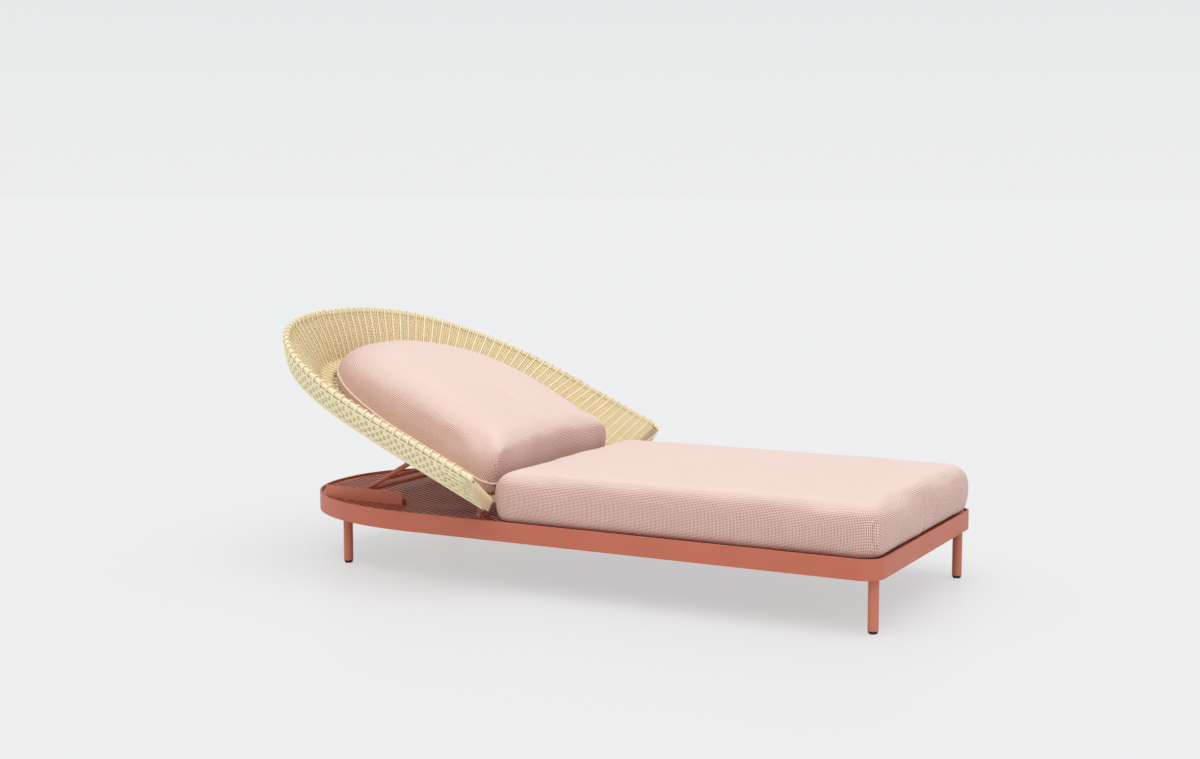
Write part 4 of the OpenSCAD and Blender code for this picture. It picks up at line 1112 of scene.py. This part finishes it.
def seat_ring(inset, z, steps=8):
    """Outline of the seat cushion, drawn in by inset."""
    r = max(seat_corner - inset, 0.012)
    x0, x1, h = seat_x[0] + inset, seat_x[1] - inset, seat_half - inset
    full = []
    corners = ((x1 - r, r - h, -90, 20), (x1 - r, h - r, 0, 28),
               (x0 + r, h - r, 90, 20), (x0 + r, r - h, 180, 28))
    for n, (cx, cy, a0, cuts) in enumerate(corners):
        for i in range(steps + 1):
            a = math.radians(a0 + 90 * i / steps)
            full.append((cx + r * math.cos(a), cy + r * math.sin(a), z))
        nx, ny = corners[(n + 1) % 4][:2]
        end = math.radians(a0 + 90)
        step_x, step_y = (nx - cx) / cuts, (ny - cy) / cuts
        full += [(cx + r * math.cos(end) + step_x * j, cy + r * math.sin(end) + step_y * j, z)
                 for j in range(1, cuts)]
    return full


start_inset = 0.003
low_r, top_r, side_swell = 0.024, 0.046, 0.009
shoulder = seat_top - 0.009


def seat_inset(z):
    """How far the outline is drawn in at a height: rounded at both ends, swollen between."""
    below = max(0, 1 - (z - seat_low) / low_r)
    above = max(0, 1 - (shoulder - z) / top_r)
    round_in = low_r * (1 - math.sqrt(1 - below ** 2)) + top_r * (1 - math.sqrt(1 - above ** 2))
    swell = side_swell * math.sin(math.pi * (z - seat_low) / (shoulder - seat_low))
    return start_inset + round_in - swell


levels = [seat_low + 0.0004 + (shoulder - seat_low - 0.0004) * (1 - math.cos(math.pi * i / 18)) / 2
          for i in range(19)]
seat = skin_over("seat_cushion_form", [seat_ring(seat_inset(z), z) for z in levels] + [
    seat_ring(0.075, seat_top - 0.0066), seat_ring(0.12, seat_top - 0.0040),
    seat_ring(0.22, seat_top - 0.0015), seat_ring(0.34, seat_top)])


def held_low(up):
    """1 for points on the underside, which stay, and less for those just above."""
    return np.clip(1 - (up - 0.004) / 0.012, 0, 1)


inflate(seat, 0.009, lambda points: held_low(points[:, 2] - seat_low), 6)
add_modifier(seat, "SUBSURF", levels=1, render_levels=1)

# %% [markdown]
# The foot face has a few upright wrinkles where the cover is a little long, and an upright seam
# runs down each corner. They are pushed in after the simulation, because a voxel would swallow
# them.

# %% Wrinkles on the foot face
points = read_points(seat)
foot_face = np.clip((points[:, 0] - seat_x[1] + 0.012) / 0.008, 0, 1)
height = np.clip((points[:, 2] - seat_low) / (seat_top - seat_low), 0, 1)
fade = np.clip(height / 0.1, 0, 1) * np.clip((0.92 - height) / 0.35, 0, 1)
for middle, lean, size, wide in ((-0.30, 0.020, 0.0022, 0.009), (-0.255, 0.010, 0.0016, 0.007),
                                 (-0.08, 0.030, 0.0030, 0.010), (-0.035, 0.018, -0.0020, 0.010),
                                 (0.065, 0.035, 0.0026, 0.009), (0.20, 0.020, 0.0016, 0.011),
                                 (0.31, 0.010, 0.0014, 0.012)):
    ridge = np.exp(-((points[:, 1] - middle - lean * height) / wide) ** 2)
    points[:, 0] += 1.6 * size * ridge * foot_face * fade

# %% Corner seams
seam_wide, seam_deep = 0.006, 0.0013
for side_x, side_y in ((1, -1), (1, 1), (-1, -1), (-1, 1)):
    corner_x = (seat_x[1] if side_x > 0 else seat_x[0]) - side_x * seat_corner
    out_x = side_x * (points[:, 0] - corner_x)
    out_y = side_y * points[:, 1] - (seat_half - seat_corner)
    seam = np.exp(-((out_x - out_y) / seam_wide) ** 2) * (out_x + out_y > 0.05)
    seam = seam * np.clip((0.97 - height) / 0.1, 0, 1)
    points[:, 0] -= seam_deep * side_x * seam
    points[:, 1] -= seam_deep * side_y * seam
points[:, 2] = np.maximum(points[:, 2], seat_low + 0.0002)
write_points(seat, points)
finish_piece(seat, "seat_cushion_soft", "platform", seat_cloth, ["seat_cushion"])
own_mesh(seat)

# %% [markdown]
# ### Back cushion
# Its plan follows the dish. A band stands up from the floor to the piping, and the crown rises
# above. As the back reclines, the foam gives way between the seat and the head end of the dish.

# %% Back cushion
back_half, back_tip, back_round, back_power, back_low = 0.393, 0.825, 0.540, 2.3, 0.003
cushion_low = 0.0556
piping_up = 0.0956


def back_ring(inset, share, w=None, steps=56):
    """Ring of the back cushion; above the piping its height is the crown's."""
    start = back_tip - back_round
    plan = [(back_low, back_half * (i + 0.5) / 8) for i in range(8)]
    plan += [(back_low + (start - back_low) * i / 8, back_half) for i in range(8)]
    for i in range(steps):
        a = math.radians(90 - 180 * i / (steps - 1))
        c, s = abs(math.cos(a)), abs(math.sin(a))
        r = ((c / back_round) ** back_power + (s / back_half) ** back_power) ** (-1 / back_power)
        plan.append((start + r * math.cos(a), r * math.sin(a)))
    plan += [(u, -y) for u, y in plan[15::-1]]
    u, y = np.array(plan).T
    corner = 0.026
    near_end = np.clip((back_low + corner - u) / corner, 0, 1)
    y = np.sign(y) * np.minimum(np.abs(y), back_half - corner * (1 - np.sqrt(1 - near_end ** 2)))
    mid_u = np.clip(u, back_low + 0.13, back_tip - back_half)
    far = np.hypot(u - mid_u, y)
    scale = (1 - share) * (1 - inset / far)
    qu, qy = mid_u + (u - mid_u) * scale, y * scale
    if w is None:
        t = np.clip((qu - back_low) / (back_tip - back_low), 0, 1)
        top = 0.099 + 0.044 * np.sin(np.pi * t ** 0.85)
        end = np.clip(1 - (u - back_low) / 0.2, 0, 1) ** 2
        width = 0.205 + (0.046 - 0.205) * end
        gone = np.clip(np.hypot(u - qu, y - qy) / width, 0, 1)
        w = piping_up + top * (1 - (1 - gone) ** 2.2) ** 0.55
    else:
        w = w + 0 * qu
    lean = 0.22 * (w - cushion_low) * np.clip(1 - (qu - back_low) / 0.25, 0, 1) ** 1.5
    return from_back(qu + lean, qy, w)


shrink = 0.003
back = skin_over("back_cushion_form", [
    back_ring(0.020, 0, cushion_low), back_ring(0.011, 0, cushion_low + 0.004),
    back_ring(shrink + 0.002, 0, cushion_low + 0.014), back_ring(shrink, 0, piping_up)]
    + [back_ring(d, 0) for d in (shrink + 0.004, shrink + 0.010)]
    + [back_ring(shrink + 0.010, q) for q in (0.05, 0.1, 0.18, 0.32, 0.48, 0.66, 0.84, 0.96)])


def back_hold(points):
    """Holds the underside: points less than a few millimetres above the dish's floor."""
    from_hinge = points - hinge
    up = from_hinge[:, 0] * math.sin(recline) + from_hinge[:, 2] * math.cos(recline)
    return held_low(up - cushion_low)


inflate(back, 0.008, back_hold, 16)
add_modifier(back, "SUBSURF", levels=1, render_levels=1)
finish_piece(back, "back_cushion_soft", "backrest", back_cloth, ["back_cushion"])
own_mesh(back)

# %% [markdown]
# The piping is a thin cord sewn in where the band meets the crown. It follows the cushion's own
# surface: for each place round the piping line, the nearest point of the finished cushion is taken.

# %% Piping
ring_line = back_ring(0.0, 0, piping_up)
closed = np.concatenate([ring_line, ring_line[:1]])
length = np.concatenate([[0], np.cumsum(np.linalg.norm(np.diff(closed, axis=0), axis=1))])
even = np.linspace(0, length[-1], 361)[:-1]
line = np.stack([np.interp(even, length, closed[:, i]) for i in range(3)], -1)
placed = []
for q in line:
    _, spot, normal, _ = back.closest_point_on_mesh(Vector(q))
    placed.append(np.array(spot) + 0.0012 * np.array(normal))
line = np.array(placed)
curve = bpy.data.curves.new("piping", "CURVE")
curve.dimensions = "3D"
curve.bevel_depth = 0.0034
curve.bevel_resolution = 2
spline = curve.splines.new("POLY")
spline.points.add(len(line) - 1)
for point, q in zip(spline.points, line):
    point.co = (*q, 1)
spline.use_cyclic_u = True
piping = bpy.data.objects.new("piping", curve)
bpy.context.scene.collection.objects.link(piping)
make_active(piping)
bpy.ops.object.convert(target="MESH")
piping = bpy.context.object
bpy.ops.object.shade_smooth()
finish_piece(piping, "back_piping", "backrest", welt_cloth)
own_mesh(piping)

# %% [markdown]
# ## Floor and light
# The floor and the backdrop are pale and plain, and no line parts them. A sun with a wide disc
# gives the same soft light everywhere, so the floor has one tone up to the horizon. The world shows
# that tone there. For the camera, more than half of the floor's shade is filled up with its own
# tone, as big studio lamps do. Light Path keeps that from adding light to the lounger.

# %% Floor
floor_tone = (0.835, 0.84, 0.845, 1)
start_clean()
bpy.ops.mesh.primitive_plane_add(size=400, location=(0, 0, 0))
floor = bpy.context.object
floor.name = "studio_floor"
floor_finish, tree, shader = new_material("studio floor", 0.42, Base_Color=(0.80, 0.80, 0.80, 1),
                                          Specular_IOR_Level=0.25)
mottle = add_node(tree, "ShaderNodeTexNoise", {"Scale": 0.6, "Detail": 2.0},
                  {"Vector": object_position(tree)})
tone = mix_colour(tree, mottle.outputs["Fac"], (0.84, 0.84, 0.84, 1), (0.86, 0.86, 0.86, 1))
feed(tree, shader, {"Base Color": tone})
own_tone = add_node(tree, "ShaderNodeEmission", {"Color": floor_tone, "Strength": 1.0})
ray = tree.nodes.new("ShaderNodeLightPath")
filled = add_node(tree, "ShaderNodeMixShader", links={
    0: number(tree, "MULTIPLY", ray.outputs["Is Camera Ray"], 0.6),
    1: shader.outputs[0], 2: own_tone.outputs[0]})
feed(tree, tree.nodes["Material Output"], {"Surface": filled.outputs[0]})
floor.data.materials.append(floor_finish)

# %% World and sun
world = bpy.data.worlds.new("studio")
bpy.context.scene.world = world
world.use_nodes = True
tree = world.node_tree
tree.nodes.clear()
path = tree.nodes.new("ShaderNodeLightPath").outputs
mirrored = number(tree, "MAXIMUM", path["Is Glossy Ray"], path["Is Transmission Ray"])
seen = number(tree, "MAXIMUM", path["Is Camera Ray"], mirrored)
glow = add_node(tree, "ShaderNodeBackground", {"Color": (0.98, 0.98, 1.0, 1), "Strength": 0.66})
sky = add_node(tree, "ShaderNodeSeparateXYZ",
               links={"Vector": tree.nodes.new("ShaderNodeTexCoord").outputs["Generated"]})
height = stretch(tree, sky.outputs["Z"], 0.0, 0.30, interpolation_type="SMOOTHSTEP")
backdrop = mix_colour(tree, height, floor_tone, (0.70, 0.725, 0.745, 1))
shown = add_node(tree, "ShaderNodeBackground", {"Strength": 1.0}, {"Color": backdrop})
both = add_node(tree, "ShaderNodeMixShader",
                links={0: seen, 1: glow.outputs[0], 2: shown.outputs[0]})
add_node(tree, "ShaderNodeOutputWorld", links={"Surface": both.outputs[0]})

sun = bpy.data.lights.new("key", "SUN")
sun.energy = 1.45
sun.angle = math.radians(70)
holder = bpy.data.objects.new("key", sun)
bpy.context.scene.collection.objects.link(holder)
holder.rotation_euler = Vector((-0.15, 0.32, -1.0)).to_track_quat("-Z", "Y").to_euler()
